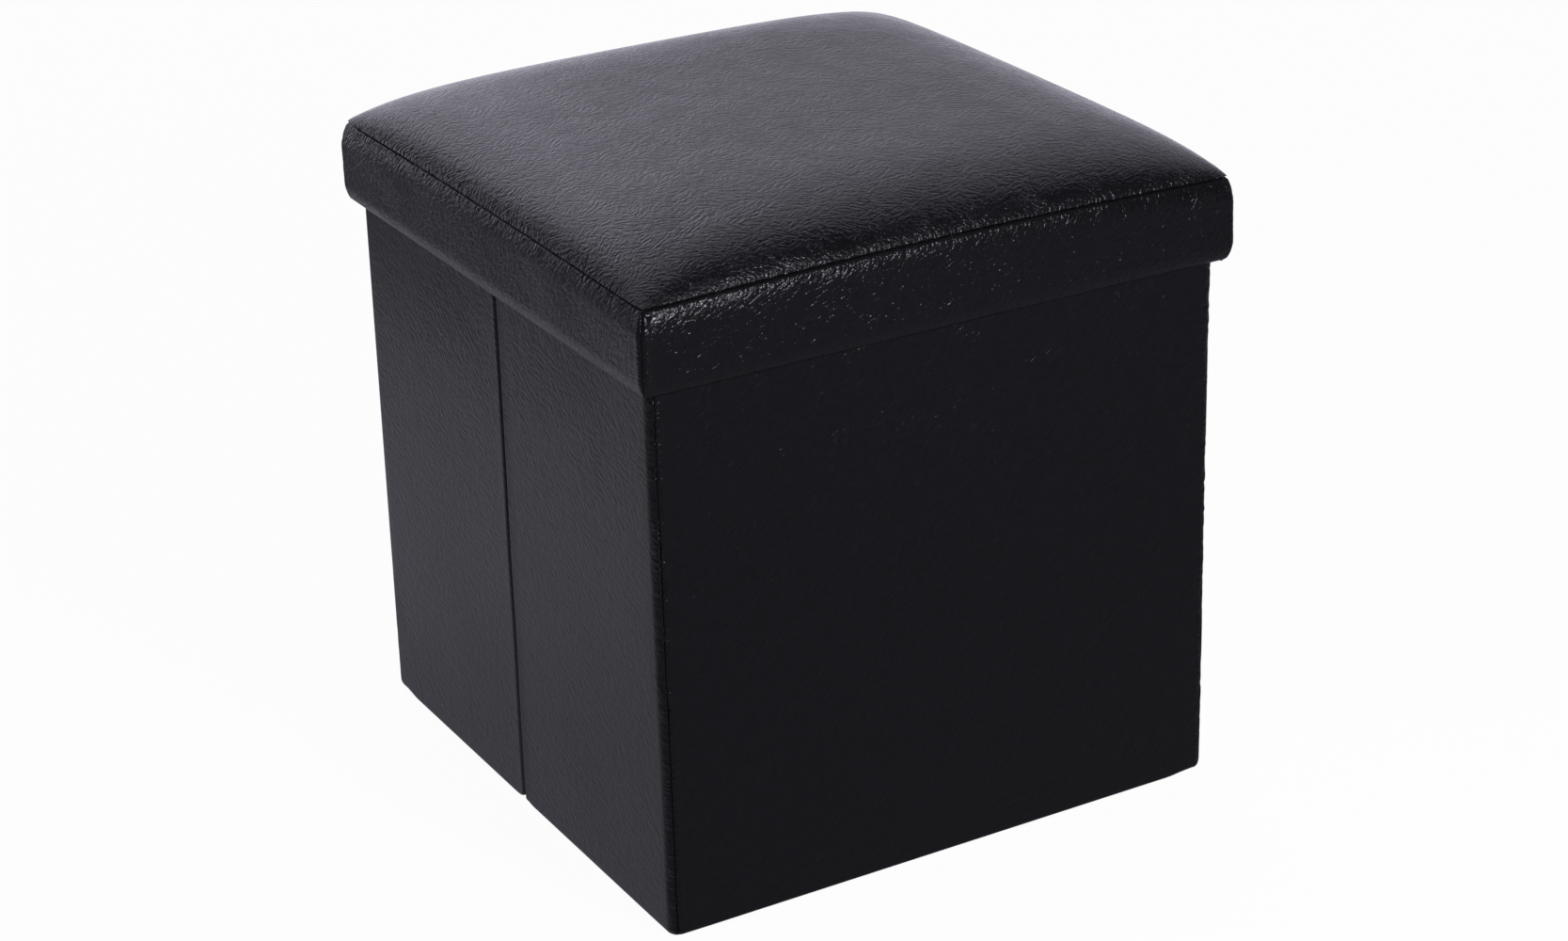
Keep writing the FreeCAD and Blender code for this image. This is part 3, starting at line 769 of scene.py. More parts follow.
# One panel of the skirt. Its plan is straight with half of each corner's arc at its ends. From the hem up,
# its inset falls as a parabola, stands proud of the stiff strip, leans in again as a parabola, and dips in a
# quarter circle to the seam at the top.
def buildSkirt(quarter):
    name = ("front", "right", "back", "left")[quarter]
    look = skirtLook
    outer, radius = lidSize["outer"], look["cornerRadius"]
    flat = outer - radius
    half = flat + radius * quarterTurn / 2
    band = look["endBand"]
    ends = half - np.linspace(0, band, 13)
    run = np.concatenate([-ends[:-1], np.linspace(-half + band, half - band, 108), ends[::-1][1:]])
    turn = np.clip((np.abs(run) - flat) / radius, 0, quarterTurn)
    x = np.sign(run) * (np.minimum(np.abs(run), flat) + radius * np.sin(turn))
    y = -(flat + radius * np.cos(turn))
    path = (x, y, np.sign(run) * np.sin(turn), -np.cos(turn))
    share = run / half
    seam = seamHeight(share, quarter)[:, None]
    low = lidSize["low"]
    turnHem = np.linspace(0, quarterTurn, 8)[None, :]
    rows = np.linspace(0, 1, 34)[None, 1:]
    hemTop = low + look["hemRadius"]
    height = np.hstack([0 * seam + hemTop - look["hemRadius"] * np.cos(turnHem),
                        hemTop + (seam - hemTop) * rows])
    rise = (height - low) / (seam - low)
    toCorner = (half - np.abs(run))[:, None]
    drop = seam - height
    inset = look["hemInset"] * (1 - np.clip((height - low) / look["hemReach"], 0, 1)) ** 2 - look["proud"]
    atCorner = np.exp(-toCorner / (55 * mm))
    shoulder, reach = between(look["shoulder"], atCorner), between(look["shoulderReach"], atCorner)
    inset = inset + shoulder * (1 - np.clip(drop / reach, 0, 1)) ** 2
    inset[:, :8] += look["hemRadius"] * (1 - np.sin(turnHem))
    inset += look["seamDip"] * rolledEdge(drop, look["seamRoll"]) / look["seamRoll"]
    inset += look["secondDepth"] * (0.35 + 0.65 * atCorner) * hump(drop, look["secondLine"], 0.9 * mm)
    inset += rolledEdge(toCorner, look["cornerDip"] + look["cornerMore"] * np.exp(-drop / (9 * mm)))
    wander = softNoise(run[:, None] + quarter, height, 30 * mm, 50 + quarter)
    inset += look["wave"] * wander * ease(rise, 0, 0.3)
    pinch = softNoise(run[:, None] + quarter, height * 0.35, 7 * mm, 60 + quarter)
    inset += look["pinch"] * pinch * np.exp(-((drop / (7 * mm)) ** 2))
    gather = softNoise(height, toCorner * 0.3, 5 * mm, 70 + quarter)
    inset += look["gather"] * gather * np.exp(-toCorner / (6 * mm))
    turnedUp = look["thick"] - 0.5 * mm * np.exp(-((height - low) / (1.5 * mm)))
    innerInset = np.where(height < low + look["turnUp"], turnedUp, inset + 1.1 * mm)
    outerPoints = standOn(path, inset, height)
    # the inner run keeps to straight lines that meet at the mitre
    innerX = x[:, None] * (outer - innerInset) / np.abs(x).max()
    innerPoints = np.stack([innerX, -(outer - innerInset), height], axis=-1)
    points = turnedQuarter(np.concatenate([outerPoints, innerPoints[:, ::-1]], axis=1), quarter)
    down = np.hstack([height, 2 * low - height[:, ::-1]])
    cloth = np.stack([run[:, None] + 0 * down + quarter * 5, down], axis=-1)
    # wear at the hem, the seam's lower lip and the corner edges; at the seam's lip the lighter colour is also
    # a painted highlight line
    wornAndHighlight = 0.45 * hump(height, low + 1 * mm, 3 * mm) + 0.9 * hump(drop, 0.8 * mm, 1.2 * mm)
    wornAndHighlight = wornAndHighlight + 0.5 * np.exp(-toCorner / (2.5 * mm))
    wornAndHighlight = np.hstack([np.clip(wornAndHighlight, 0, 1), 0 * height])
    across = np.where(drop < toCorner, run[:, None], height)
    nearSeam = np.stack([np.hstack([across, height]),
                         np.hstack([np.minimum(drop, toCorner), 1 + 0 * height])], axis=-1)
    panel = makePiece(f"{name}_skirt_panel", points, cloth, "skirt", wornAndHighlight, nearSeam)
    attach(panel, "lid")
    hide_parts(f"{name}_skirt_leather")


for quarter in range(4):
    buildSkirt(quarter)
print("skirt is on")

# the cushion
cushionLook = {
    "rise": 24 * mm,
    "power": 6,  # the crown is (1 - t^power)^(1/root) of the rise, both ways
    "root": (1.7, 2.0),  # toward the front and left, and toward the back and right
    "edgeInset": 1.2 * mm,
    "edgeLift": 0.9 * mm,  # height of the cushion's edge over the seam
    "cells": 190,
    "wave": 0.5 * mm,
    "stretch": 0.13 * mm,
    "stretchReach": 9 * mm,
    "lattice": 26,  # points each way of the cloth that is blown up
    "pressure": 4.0,
    "cap": 5 * mm,  # how far the pressure may move a point
    "kept": 0.2,  # the share of that which is kept
    "bunching": 0.93,  # share of a sine's quarter turn over which the mesh is spaced
    "under": ((1.7 * mm, -0.3 * mm), (2.3 * mm, -1.6 * mm), (3.0 * mm, -6 * mm)),  # rings below the edge
    "overBoard": 0.4 * mm,
}


# The share of the crown's rise at a share of the way to the edge
def crown(share):
    look = cushionLook
    root = np.where(share < 0, *look["root"])
    return np.clip(1 - np.abs(share) ** look["power"], 0, 1) ** (1 / root)


# The cushion's top at shares of the way to its edges. Its height is the seam's, plus the rise times the
# crown's shares both ways, plus a slow wander and short pulls beside the seam. Its corners are drawn in.
def crownSurface(a, b):
    look = cushionLook
    half = lidSize["outer"] - look["edgeInset"]
    x, y = half * a, half * b
    pull = 1.4 * mm * (np.abs(a) * np.abs(b)) ** 24
    x, y = x - np.sign(x) * pull, y - np.sign(y) * pull
    frontSeam, sideSeam = seamHeight(a, 0), seamHeight(b, 1)
    toSide, toEnd = 1 - np.abs(a), 1 - np.abs(b)
    # the seam's height spreads in from the nearer edge
    share = toEnd / np.maximum(toSide + toEnd, 1e-6)
    seam = frontSeam * (1 - share) + sideSeam * share
    level = seam + look["rise"] * crown(a) * crown(b)
    inward = ease(np.minimum(toSide, toEnd), 0, 0.3)
    level += look["edgeLift"] + look["wave"] * softNoise(x, y, 70 * mm, 80) * inward
    for near, along, seed in ((toSide, y, 81), (toEnd, x, 82)):
        fade = np.exp(-((near * half / look["stretchReach"]) ** 2)) * ease(near * half, 0, 2 * mm)
        level += look["stretch"] * softNoise(along, near * half * 0.25, 2.6 * mm, seed) * fade
    return x, y, level


# Weights that carry a lattice's values to finer places along one way: the four cubic B-spline shares
def splineWeights(fine, count):
    place = (fine + 1) / 2 * (count - 1)
    cell = np.clip(np.floor(place), 0, count - 2)
    f = place - cell
    shares = np.stack([(1 - f) ** 3, 3 * f**3 - 6 * f**2 + 4, 3 * (f + f**2 - f**3) + 1, f**3]) / 6
    weights = np.zeros((len(fine), count))
    for step, share in enumerate(shares):
        near = np.clip(cell.astype(int) + step - 1, 0, count - 1)
        np.add.at(weights, (np.arange(len(fine)), near), share)
    return weights


# The top's cloth on a coarse lattice, sewn down along its rim and pressed up by the foam for twenty frames.
# Returns how far each place of the finer lattice moves.
def pressedUp(fine):
    look = cushionLook
    count = look["lattice"]
    even = np.linspace(-1, 1, count)
    a, b = np.meshgrid(even, even, indexing="ij")
    start = np.stack(crownSurface(a, b), axis=-1).reshape(-1, 3)
    index = np.arange(count * count).reshape(count, count)
    mesh = bpy.data.meshes.new("crownCloth")
    mesh.from_pydata(start.tolist(), [], latticeQuads(index).tolist())
    cloth = bpy.data.objects.new("crownCloth", mesh)
    scene.collection.objects.link(cloth)
    rim = np.unique(np.concatenate([index[0], index[-1], index[:, 0], index[:, -1]]))
    sewn = cloth.vertex_groups.new(name="sewn")
    sewn.add(rim.tolist(), 1.0, "REPLACE")
    physics = cloth.modifiers.new("pressure", "CLOTH")
    settings = physics.settings
    settings.quality = 6
    settings.mass = 0.3
    settings.tension_stiffness = settings.compression_stiffness = 25
    settings.shear_stiffness = 15
    settings.bending_stiffness = 2.0
    settings.vertex_group_mass = "sewn"
    settings.use_pressure = True
    settings.uniform_pressure_force = look["pressure"]
    settings.effector_weights.gravity = 0
    physics.collision_settings.use_collision = False
    physics.point_cache.frame_start, physics.point_cache.frame_end = 1, 20
    for frameNumber in range(1, 21):
        scene.frame_set(frameNumber)
    solved = cloth.evaluated_get(bpy.context.evaluated_depsgraph_get())
    ended = np.empty(len(start) * 3)
    solved.data.vertices.foreach_get("co", ended)
    scene.frame_set(1)
    bpy.data.objects.remove(cloth)
    bpy.data.meshes.remove(mesh)
    move = ended.reshape(-1, 3) - start
    far = np.linalg.norm(move, axis=1, keepdims=True)
    move = move * np.minimum(1, look["cap"] / np.maximum(far, 1e-9)) * look["kept"]
    print("pressed up by", far.max(), move[:, 2].max(), move[:, 2].min())
    weights = splineWeights(fine, count)
    spread = np.einsum("ia,jb,abk->ijk", weights, weights, move.reshape(count, count, 3), optimize=True)
    still = ease(1 - np.abs(fine), 0, 0.02)
    return spread * (still[:, None] * still[None, :])[..., None]


# The crowned top on a lattice spaced as a sine, rings that tuck in under its edge, and a flat floor
def buildCushion():
    look = cushionLook
    count = look["cells"]
    even = np.linspace(-1, 1, count)
    spaced = np.sin(even * quarterTurn * look["bunching"]) / math.sin(quarterTurn * look["bunching"])
    a, b = np.meshgrid(spaced, spaced, indexing="ij")
    x, y, level = crownSurface(a, b)
    top = np.stack([x, y, level], axis=-1) + pressedUp(spaced)
    steepX = np.sign(a) * look["rise"] * (1 - crown(a))
    steepY = np.sign(b) * look["rise"] * (1 - crown(b))
    cloth = np.stack([x + steepX, y + steepY], axis=-1)
    index = np.arange(count * count).reshape(count, count)
    border = np.concatenate([index[:-1, 0], index[-1, :-1], index[:0:-1, -1], index[0, :0:-1]])
    rim = top.reshape(-1, 3)[border]
    rimCloth = cloth.reshape(-1, 2)[border]
    flatten = np.array([1, 1, 0])
    out = rim * flatten / np.abs(rim[:, :2]).max(axis=1)[:, None]
    rings = [rim - out * inward + np.array([0, 0, down]) for inward, down in look["under"]]
    floor = rings[-1] * flatten + np.array([0, 0, lidSize["boardTop"] + look["overBoard"]])
    rings.append(floor)
    points = np.concatenate([top.reshape(-1, 3), *rings, [[0, 0, floor[0, 2]]]])
    clothAll = np.concatenate([cloth.reshape(-1, 2)] + [rimCloth * (1 + 0.004 * n) for n in range(1, 5)]
                              + [np.zeros((1, 2))])
    size = len(border)
    ringIndex = [border] + [count * count + n * size + np.arange(size) for n in range(4)]
    bands = [np.stack([one, np.roll(one, -1), np.roll(two, -1), two], axis=-1)
             for one, two in zip(ringIndex, ringIndex[1:])]
    last = ringIndex[-1]
    fan = np.stack([last, np.roll(last, -1), np.full(size, len(points) - 1)], axis=-1)
    faces = np.concatenate([latticeQuads(index), *bands]).tolist() + fan.tolist()
    wornAndHighlight = 0.35 * hump(np.minimum(1 - np.abs(a), 1 - np.abs(b)) * lidSize["outer"], 0, 4 * mm)
    wornAndHighlight = np.concatenate([wornAndHighlight.ravel(), np.zeros(4 * size + 1)])
    toEnd, toSide = (lidSize["outer"] * (1 - np.abs(way)) + look["rise"] * crown(way) for way in (b, a))
    nearSeam = np.stack([np.where(toEnd < toSide, x, y), np.minimum(toEnd, toSide)], axis=-1).reshape(-1, 2)
    below = np.stack([nearSeam[border, 0], np.zeros(size)], axis=-1)
    nearSeam = np.concatenate([nearSeam, below, below, below, below, [[0, 0]]])
    cushion = makePiece("lid_cushion", points, clothAll, "cushion", wornAndHighlight, nearSeam, faces)
    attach(cushion, "lid")
    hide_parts("lid_top_leather", "lid_foam")


buildCushion()
print("cushion is filled")

# the cloth parts inside
clothLook = {
    "cells": 40,
    "edge": 1.5 * mm,  # radius of the base board's wrapped edge
    "tape": 0.24 * mm,
    "tapeBend": 2.5 * mm,
    "ribbon": 0.34 * mm,
    "sheet": 0.30 * mm,
    "sheetWave": 0.12 * mm,
    "stitch": 3.4 * mm,
    "stitchGap": 4.4 * mm,
    "stitchRadius": 0.28 * mm,
    "stitchSunk": 0.16 * mm,  # how deep its middle lies in the cloth, and in the tape on the base board
    "stitchDeep": 0.23 * mm,
    "tabRow": 8 * mm,  # half the length of the pull tab's rows
    "tapeEdge": 4 * mm,  # how far in from the tape's edges its rows are
    "lining": 0.5 * mm,
    "liningBend": 1.5 * mm,
}


# A flat cloth solid with rounded edges. Along its two long ways the places bunch up at the edges, and its
# thickness there falls as a quarter circle. Its face may wander a little.
def slabPoints(low, high, edge, wave=0.0, seed=0):
    low, high = np.array(low), np.array(high)
    order = np.argsort(low - high)  # longest way first
    size = (high - low)[order] / 2
    turn = np.linspace(0, quarterTurn, 5)
    bunch, fall = edge * (1 - np.cos(turn)), edge * (1 - np.sin(turn))
    ways = []
    for half in size[:2]:
        middle = np.linspace(-half + edge, half - edge, clothLook["cells"])[1:-1]
        place = np.concatenate([-half + bunch, middle, half - bunch[::-1]])
        ways.append((place, np.concatenate([fall, 0 * middle, fall[::-1]])))
    u, v = np.meshgrid(ways[0][0], ways[1][0], indexing="ij")
    thick = size[2] - np.minimum(size[2], np.maximum(ways[0][1][:, None], ways[1][1][None, :]))
    wander = wave * softNoise(u, v, 45 * mm, seed)
    loops = np.stack([np.hstack([u, u[:, ::-1]]), np.hstack([v, v[:, ::-1]]),
                      np.hstack([wander - thick, (wander + thick)[:, ::-1]])], axis=-1)
    points = np.empty_like(loops)
    points[..., order] = loops
    return points + (low + high) / 2, np.stack([loops[..., 0], loops[..., 1]], axis=-1)


def buildLining(node, body):
    low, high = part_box(node)
    points, cloth = slabPoints(low, high, min(high - low) / 2)
    felt = makePiece(f"{node}_felt", points, cloth, "lining")
    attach(felt, body)
    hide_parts(node)


# A cloth that stands upright on a plan path, of the lining's thickness inwards from it
def standingCloth(name, path, low, high, body, node):
    x, y = path[:2]
    rows = np.linspace(low, high, 10)
    height = np.concatenate([rows, rows[::-1]]) + 0 * x[:, None]
    inset = np.concatenate([0 * rows, 0 * rows + clothLook["lining"]]) + 0 * x[:, None]
    points = standOn(path, inset, height)
    run = np.concatenate([[0], np.cumsum(np.hypot(np.diff(x), np.diff(y)))])
    cloth = makePiece(name, points, clothOf(run, inset, height), "lining")
    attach(cloth, body)
    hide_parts(node)


# The front or back lining, whose ends turn in a few millimetres along the side walls
def buildEndLining(end):
    name = wallNames[end]
    low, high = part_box(f"{name}_lining")
    radius, outer = clothLook["liningBend"], high.x
    turn = np.linspace(0, quarterTurn, 5)
    returned = np.linspace(min(abs(low.y), abs(high.y)), outer - radius, 4)[:-1]
    half = np.linspace(outer - radius, 0, 20)[1:]
    x = np.concatenate([outer + 0 * returned, outer - radius * (1 - np.cos(turn)), half])
    y = np.concatenate([returned, outer - radius * (1 - np.sin(turn)), outer + 0 * half])
    outX = np.concatenate([1 + 0 * returned, np.cos(turn), 0 * half])
    outY = np.concatenate([0 * returned, np.sin(turn), 1 + 0 * half])
    x, outX = (np.concatenate([part, -part[-2::-1]]) for part in (x, outX))
    y, outY = (np.concatenate([part, part[-2::-1]]) * end for part in (y, outY))
    path = (x, y, outX, outY)
    standingCloth(f"{name}_lining_felt", path, low.z, high.z, f"{name}_wall", f"{name}_lining")


# The ring of cloth inside the skirt, on a square plan with small round corners
def buildSkirtLining():
    low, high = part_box("skirt_lining")
    radius = clothLook["liningBend"]
    flat = high.x - radius
    turn = np.linspace(0, quarterTurn, 5)
    side = np.linspace(-flat, flat, 20)[1:-1]
    size = len(turn) + len(side)
    x = np.concatenate([flat + radius * np.sin(turn), flat + radius + 0 * side])
    y = np.concatenate([-flat - radius * np.cos(turn), side])
    outX = np.concatenate([np.sin(turn), 1 + 0 * side])
    outY = np.concatenate([-np.cos(turn), 0 * side])
    for _ in range(3):
        x, y = np.append(x, -y[-size:]), np.append(y, x[-size:])
        outX, outY = np.append(outX, -outY[-size:]), np.append(outY, outX[-size:])
    path = [np.append(part, part[0]) for part in (x, y, outX, outY)]
    standingCloth("skirt_lining_felt", path, low.z, high.z, "lid", "skirt_lining")


# A strip of constant width across x that follows a path of (y, z), rounded at its two long edges
def stripPoints(path, halfWidth, thick):
    path = np.array(path)
    ahead = np.gradient(path, axis=0)
    ahead = ahead / np.linalg.norm(ahead, axis=1)[:, None]
    out = np.stack([-ahead[:, 1], ahead[:, 0]], axis=1)
    turn = np.linspace(0, quarterTurn, 5)
    middle = np.linspace(-halfWidth + thick, halfWidth - thick, 30)[1:-1]
    bunch = thick * (1 - np.cos(turn))
    across = np.concatenate([-halfWidth + bunch, middle, halfWidth - bunch[::-1]])
    full = np.concatenate([np.sin(turn), 1 + 0 * middle, np.sin(turn)[::-1]]) * thick / 2
    across, full = np.concatenate([across, across[::-1]]), np.concatenate([-full, full[::-1]])
    place = path[:, None, :] + out[:, None, :] * full[None, :, None]
    points = np.concatenate([across[None, :, None] + 0 * place[..., :1], place], axis=-1)
    run = np.concatenate([[0], np.cumsum(np.linalg.norm(np.diff(path, axis=0), axis=1))])
    return points, np.stack([run[:, None] + 0 * across, across + 0 * run[:, None]], axis=-1)


# A row of stitches as one mesh: capsules along the line from start to end, moved inward into the cloth
def buildStitches(name, start, end, body, inward):
    look = clothLook
    start, end = np.array(start) + inward, np.array(end) + inward
    length = np.linalg.norm(end - start)
    ahead = (end - start) / length
    lift = np.cross(ahead, (0, 0, 1)) if abs(ahead[2]) < 0.5 else np.array([1.0, 0, 0])
    over = np.cross(ahead, lift)
    count = int(length / look["stitchGap"])
    centres = start + (np.arange(count) + 0.5)[:, None] / count * (end - start)
    turn = np.linspace(-quarterTurn, quarterTurn, 7)
    along = np.sign(turn) * (look["stitch"] / 2 - look["stitchRadius"]) * (np.abs(turn) > 0.01)
    along = along + look["stitchRadius"] * np.sin(turn)
    girth = look["stitchRadius"] * np.maximum(np.cos(turn), 0.02)
    angle = np.arange(8) * quarterTurn / 2
    rings = (along[:, None, None] * ahead + girth[:, None, None]
             * (np.cos(angle)[:, None] * lift + np.sin(angle)[:, None] * over))
    points = centres[:, None, None, :] + rings[None]
    index = np.arange(points[..., 0].size).reshape(points.shape[:3])
    onward = np.roll(index, -1, axis=2)
    quads = np.stack([index[:, :-1], index[:, 1:], onward[:, 1:], onward[:, :-1]], axis=-1).reshape(-1, 4)
    ends = np.concatenate([index[:, 0, ::-1], index[:, -1]])
    cloth = np.stack([along[:, None] + 0 * angle, 0 * along[:, None] + angle * 0.3 * mm], axis=-1)
    cloth = np.broadcast_to(cloth, (*points.shape[:3], 2))
    row = makePiece(name, points, cloth, "thread", faces=quads.tolist() + ends.tolist())
    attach(row, body)


for end in (front, back):
    buildEndLining(end)
for side in (left, right):
    for end in (front, back):
        half = f"{sideNames[side]}_{halfNames[end]}"
        buildLining(f"{half}_lining", half)
buildLining("lid_lining", "lid")
buildSkirtLining()


def buildBase():
    look = clothLook
    low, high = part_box("base_wrap")
    points, cloth = slabPoints(low, high, look["edge"], 0.05 * mm, 90)
    wrap = makePiece("base_wrap_felt", points, cloth, "lining")
    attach(wrap, "base")
    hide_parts("base_wrap")

    low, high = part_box("base_pull_tab")
    thick, height = look["ribbon"], high.z - low.z
    radius = (height - thick) / 2
    turn = np.linspace(-quarterTurn, quarterTurn, 9)
    out = np.linspace(high.y, low.y + height / 2, 16)
    under, over = low.z + thick / 2, high.z - thick / 2
    bendY, bendZ = out[-1], (under + over) / 2
    path = ([(y, under) for y in out[:-1]]
            + [(bendY - radius * math.cos(angle), bendZ + radius * math.sin(angle)) for angle in turn]
            + [(y, over) for y in out[-2::-1]])
    points, cloth = stripPoints(path, high.x, thick)
    tab = makePiece("base_ribbon_tab", points, cloth, "ribbon")
    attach(tab, "base")
    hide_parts("base_pull_tab")
    for step in (3, 9):
        y = high.y - step * mm
        buildStitches(f"base_tab_stitches_{step}", (-look["tabRow"], y, high.z), (look["tabRow"], y, high.z),
                      "base", (0, 0, -look["stitchSunk"]))

    low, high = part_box("base_hinge_tape")
    thick, bend = look["tape"], look["tapeBend"]
    wallY, floorZ = high.y - thick / 2, low.z + thick / 2
    turn = np.linspace(0, quarterTurn, 9)
    bendY, bendZ = wallY - bend, floorZ + bend
    path = ([(wallY, z) for z in np.linspace(high.z, bendZ, 12)]
            + [(bendY + bend * math.cos(angle), bendZ - bend * math.sin(angle)) for angle in turn[1:]]
            + [(y, floorZ) for y in np.linspace(bendY, low.y, 14)[1:]])
    points, cloth = stripPoints(path, high.x, thick)
    tape = makePiece("base_hinge_strip", points, cloth, "ribbon")
    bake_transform(tape)
    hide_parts("base_hinge_tape")
    edge = look["tapeEdge"]
    reach = (low.x + edge, high.x - edge)
    for part, y, z, body, inward in (
        ("wall", wallY - thick / 2, high.z - edge, "back_wall", (0, look["stitchSunk"], 0)),
        ("base", low.y + edge, floorZ + thick / 2, "base", (0, 0, -look["stitchDeep"])),
    ):
        buildStitches(f"base_hinge_{part}_stitches", *((x, y, z) for x in reach), body, inward)


# The loose sheet that closes the bottom
def buildBottomSheet():
    look = clothLook
    low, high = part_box("bottom_sheet")
    low.z, high.z = low.z + 0.1 * mm, low.z + 0.1 * mm + look["sheet"]
    points, cloth = slabPoints(low, high, look["sheet"] / 2, look["sheetWave"], 95)
    sheet = makePiece("bottom_sheet_cloth", points, cloth, "lining")
    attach(sheet, "back_wall")
    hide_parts("bottom_sheet")
    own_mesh(sheet)


buildBase()
buildBottomSheet()

# the binding's stitches, inside and outside each wall
bindingLook = {
    "below": 12 * mm,  # how far under the top edge
    "fromCrease": 7 * mm,
    "sideReach": 165 * mm,  # how far from the middle the rows end
    "endReach": 168 * mm,
}
height = boxSize["top"] - bindingLook["below"]
bindingRows = (
    ("outer", boxSize["outer"], -clothLook["stitchSunk"]),
    ("inner", boxSize["outer"] - boxSize["thick"] - wallLook["bindingProud"], clothLook["stitchSunk"]),
)
for side in (left, right):
    for end in (front, back):
        half = f"{sideNames[side]}_{halfNames[end]}"
        for place, x, sunk in bindingRows:
            buildStitches(f"{half}_{place}_stitches", (side * x, end * bindingLook["fromCrease"], height),
                          (side * x, end * bindingLook["sideReach"], height), half, (sunk * side, 0, 0))
reach = bindingLook["endReach"]
for end in (front, back):
    for place, y, sunk in bindingRows:
        buildStitches(f"{wallNames[end]}_{place}_stitches", (-reach, end * y, height),
                      (reach, end * y, height), f"{wallNames[end]}_wall", (0, sunk * end, 0))
print("inside is lined and stitched")

# boards keep their CAD shape
for name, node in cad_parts.items():
    if name.endswith("board"):
        node.data.materials.clear()
        node.data.materials.append(materials["board"])
print("boards have their finish")

# stage
lightLook = {
    "place": (0.035, -0.98, 0.73),
    "aim": (-0.19, -0.19, 0.37),
    "size": (0.14, 0.12),
    "glow": 60.0,
    "tint": (0.90, 0.90, 1.0),
}
stageLook = {
    "shown": 1.07,
    "shadowShare": 0.10,
    "floorBright": 0.37,  # the floor as the leather reflects it, at the left rear
    "floorFar": 0.17,  # and further off
    "floorClose": 0.80,  # its share close to the box
    "floorDark": 0.155,  # and at the front right
    "floorBehind": 1.2,
    "skyBright": 1.12,  # the wall behind, toward its left
    "skyRight": 0.53,  # and its right
    "skyLeft": 0.06,
    "skyDark": 0.05,
    "cool": (0.99, 0.97, 1.14),
    "skyTop": (0.66, 0.82),  # heights in a unit sphere between which the wall behind ends
    "farBand": (0.72, 1.10),  # distances from the middle between which the floor dims
    "closeBand": (0.22, 0.45),
    "rearBand": (0.15, 0.65),  # shares of the way to the rear between which it brightens
    "behindBand": (1.2, 2.5),
    "wallBand": (-0.1, 0.35),
    "rightBand": (0.32, 0.46),  # shares of the way to the right between which the sweep dims
    "leftBand": (-0.42, 0.10),
    "lowBand": (0.0, 0.35),
    "skyLow": 1.12,
}


# A soft lamp in front, aimed at the lid's front left corner
def addLight():
    look = lightLook
    lamp = bpy.data.lights.new("frontRoll", "AREA")
    lamp.shape = "RECTANGLE"
    lamp.size, lamp.size_y = look["size"]
    lamp.color = look["tint"]
    lamp.energy = look["glow"] * math.pi * lamp.size * lamp.size_y
    light = bpy.data.objects.new("frontRoll", lamp)
    light.location = look["place"]
    aim = Vector(look["aim"]) - Vector(look["place"])
    light.rotation_euler = aim.to_track_quat("-Z", "Y").to_euler()
    scene.collection.objects.link(light)


# Cool light of a level that may vary, and plain white where the camera looks at it
def addCool(tree, level, seen):
    cool = stageLook["cool"]
    tint = addMix(tree, seen, (*cool, 1), (1, 1, 1, 1))
    return addScaled(tree, tint, level)


def addAlong(tree, place, direction):
    made = addNode(tree, "ShaderNodeVectorMath", {0: place, 1: direction}, operation="DOT_PRODUCT")
    return made.outputs["Value"]


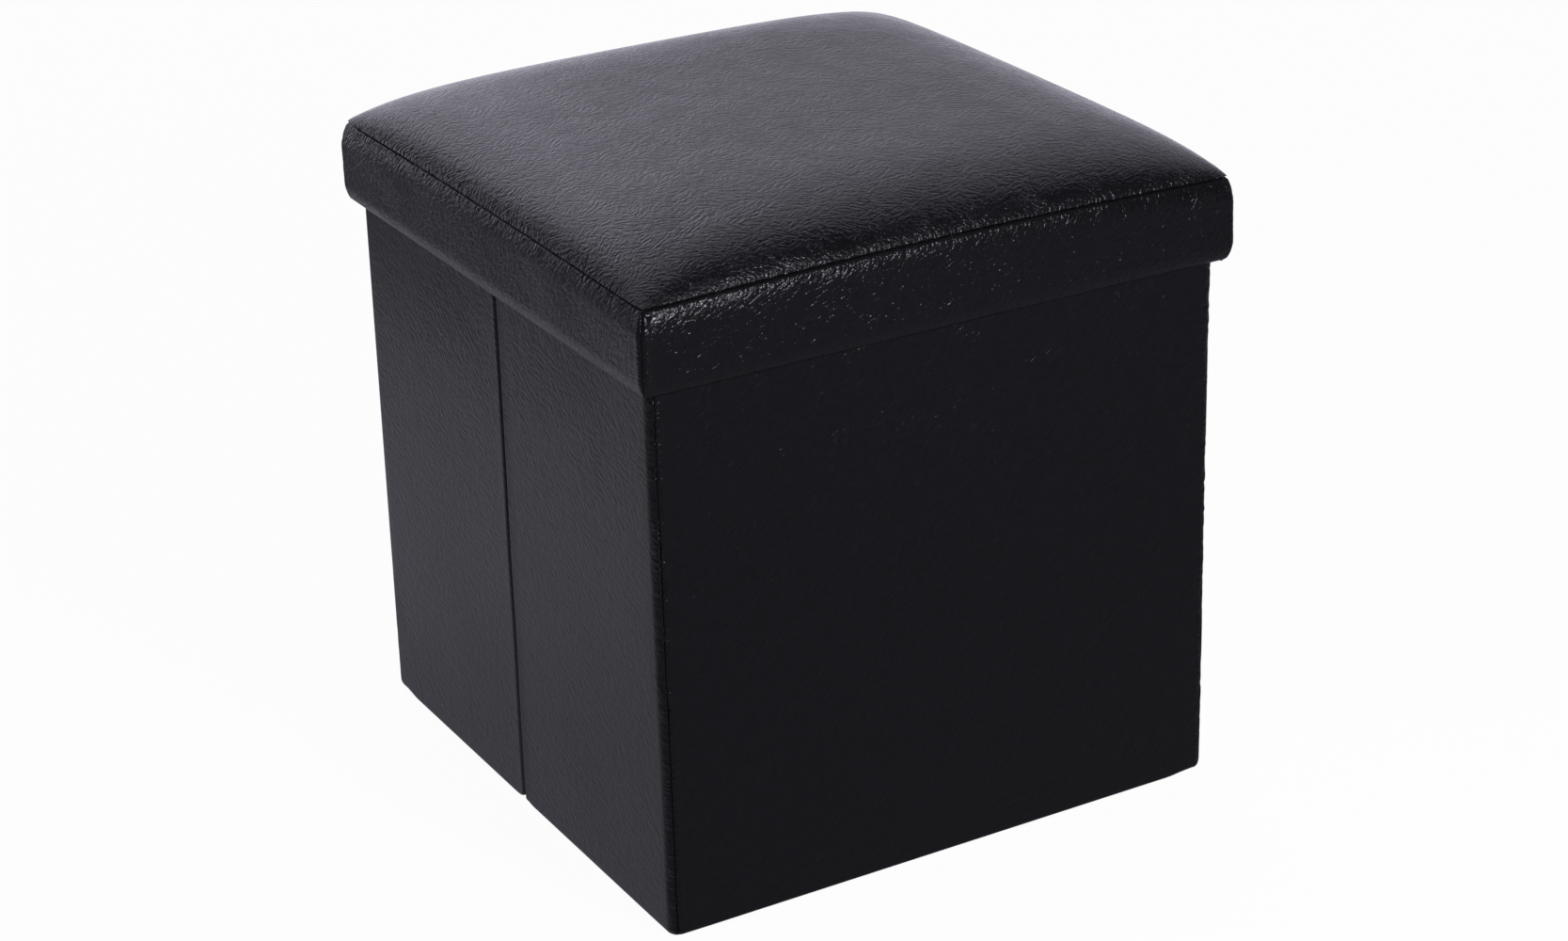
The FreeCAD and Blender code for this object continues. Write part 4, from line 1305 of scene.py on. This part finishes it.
# The floor is white to look at, with a faint shadow. In reflections it is brighter at the left rear.
def addStage():
    mesh = bpy.data.meshes.new("studioFloor")
    reach = 6.0
    corners = [(-reach, -reach, 0), (reach, -reach, 0), (reach, reach, 0), (-reach, reach, 0)]
    mesh.from_pydata(corners, [], [(0, 1, 2, 3)])
    floor = bpy.data.objects.new("studioFloor", mesh)
    scene.collection.objects.link(floor)
    look = stageLook
    material, tree, shader = newMaterial("paleFloor")
    shader.inputs["Base Color"].default_value = (0.8, 0.8, 0.8, 1)
    shader.inputs["Roughness"].default_value = 0.9
    seen = addNode(tree, "ShaderNodeLightPath").outputs["Is Camera Ray"]
    place = addNode(tree, "ShaderNodeTexCoord").outputs["Object"]
    far = addNode(tree, "ShaderNodeVectorMath", {0: place}, operation="LENGTH").outputs["Value"]
    near = addRange(tree, far, *look["farBand"], look["floorBright"], look["floorFar"])
    near = addMath(tree, "MULTIPLY", near, addRange(tree, far, *look["closeBand"], look["floorClose"], 1.0))
    fromCorner = addVector(tree, "SUBTRACT", place, (-boxSize["outer"], -boxSize["outer"], 0))
    bearing = addNode(tree, "ShaderNodeVectorMath", {0: fromCorner}, operation="NORMALIZE").outputs[0]
    leftRear = addRange(tree, addAlong(tree, bearing, (0, 1, 0)), *look["rearBand"])
    spread = addNode(tree, "ShaderNodeMix", {0: leftRear, 2: look["floorDark"], 3: near}).outputs[0]
    away = addAlong(tree, place, (0.5, 0.85, 0))
    behind = addRange(tree, away, *look["behindBand"], 0.0, look["floorBehind"])
    lit = addMath(tree, "ADD", spread, behind)
    level = addNode(tree, "ShaderNodeMix", {0: seen, 2: lit, 3: look["shown"]}).outputs[0]
    glow = addNode(tree, "ShaderNodeEmission", {"Color": addCool(tree, level, seen), "Strength": 1.0})
    share = addMath(tree, "SUBTRACT", 1.0, addMath(tree, "MULTIPLY", seen, look["shadowShare"]))
    mixed = addNode(tree, "ShaderNodeMixShader", {0: share, 1: shader.outputs[0], 2: glow.outputs[0]})
    tree.links.new(mixed.outputs[0], tree.nodes["Material Output"].inputs["Surface"])
    mesh.materials.append(material)


# The studio round it: a bright sweep behind, brighter to the left, that ends overhead, and dark elsewhere
def addWorld():
    world = bpy.data.worlds.new("studio")
    scene.world = world
    world.use_nodes = True
    tree = world.node_tree
    look = stageLook
    seen = addNode(tree, "ShaderNodeLightPath").outputs["Is Camera Ray"]
    way = addNode(tree, "ShaderNodeTexCoord").outputs["Generated"]
    behind = addRange(tree, addAlong(tree, way, (-0.1, 0.99, 0)), *look["wallBand"])
    across = addAlong(tree, way, (1, 0, 0))
    toRight = addRange(tree, across, *look["rightBand"], look["skyBright"], look["skyRight"])
    toLeft = addRange(tree, across, *look["leftBand"], look["skyLeft"], 1.0)
    high = addRange(tree, addAlong(tree, way, (0, 0, 1)), *look["skyTop"], 1.0, 0.0)
    low = addRange(tree, addAlong(tree, way, (0, 0, 1)), *look["lowBand"], look["skyLow"], 1.0)
    sweep = addMath(tree, "MULTIPLY", addMath(tree, "MULTIPLY", behind, high),
                    addMath(tree, "MULTIPLY", low, toLeft))
    sweep = addMath(tree, "MULTIPLY", sweep, toRight)
    level = addMath(tree, "ADD", sweep, look["skyDark"])
    shown = addNode(tree, "ShaderNodeMix", {0: seen, 2: level, 3: 1.0}).outputs[0]
    tree.links.new(addCool(tree, shown, seen), tree.nodes["Background"].inputs["Color"])


addLight()
addStage()
addWorld()
print("stage is lit")
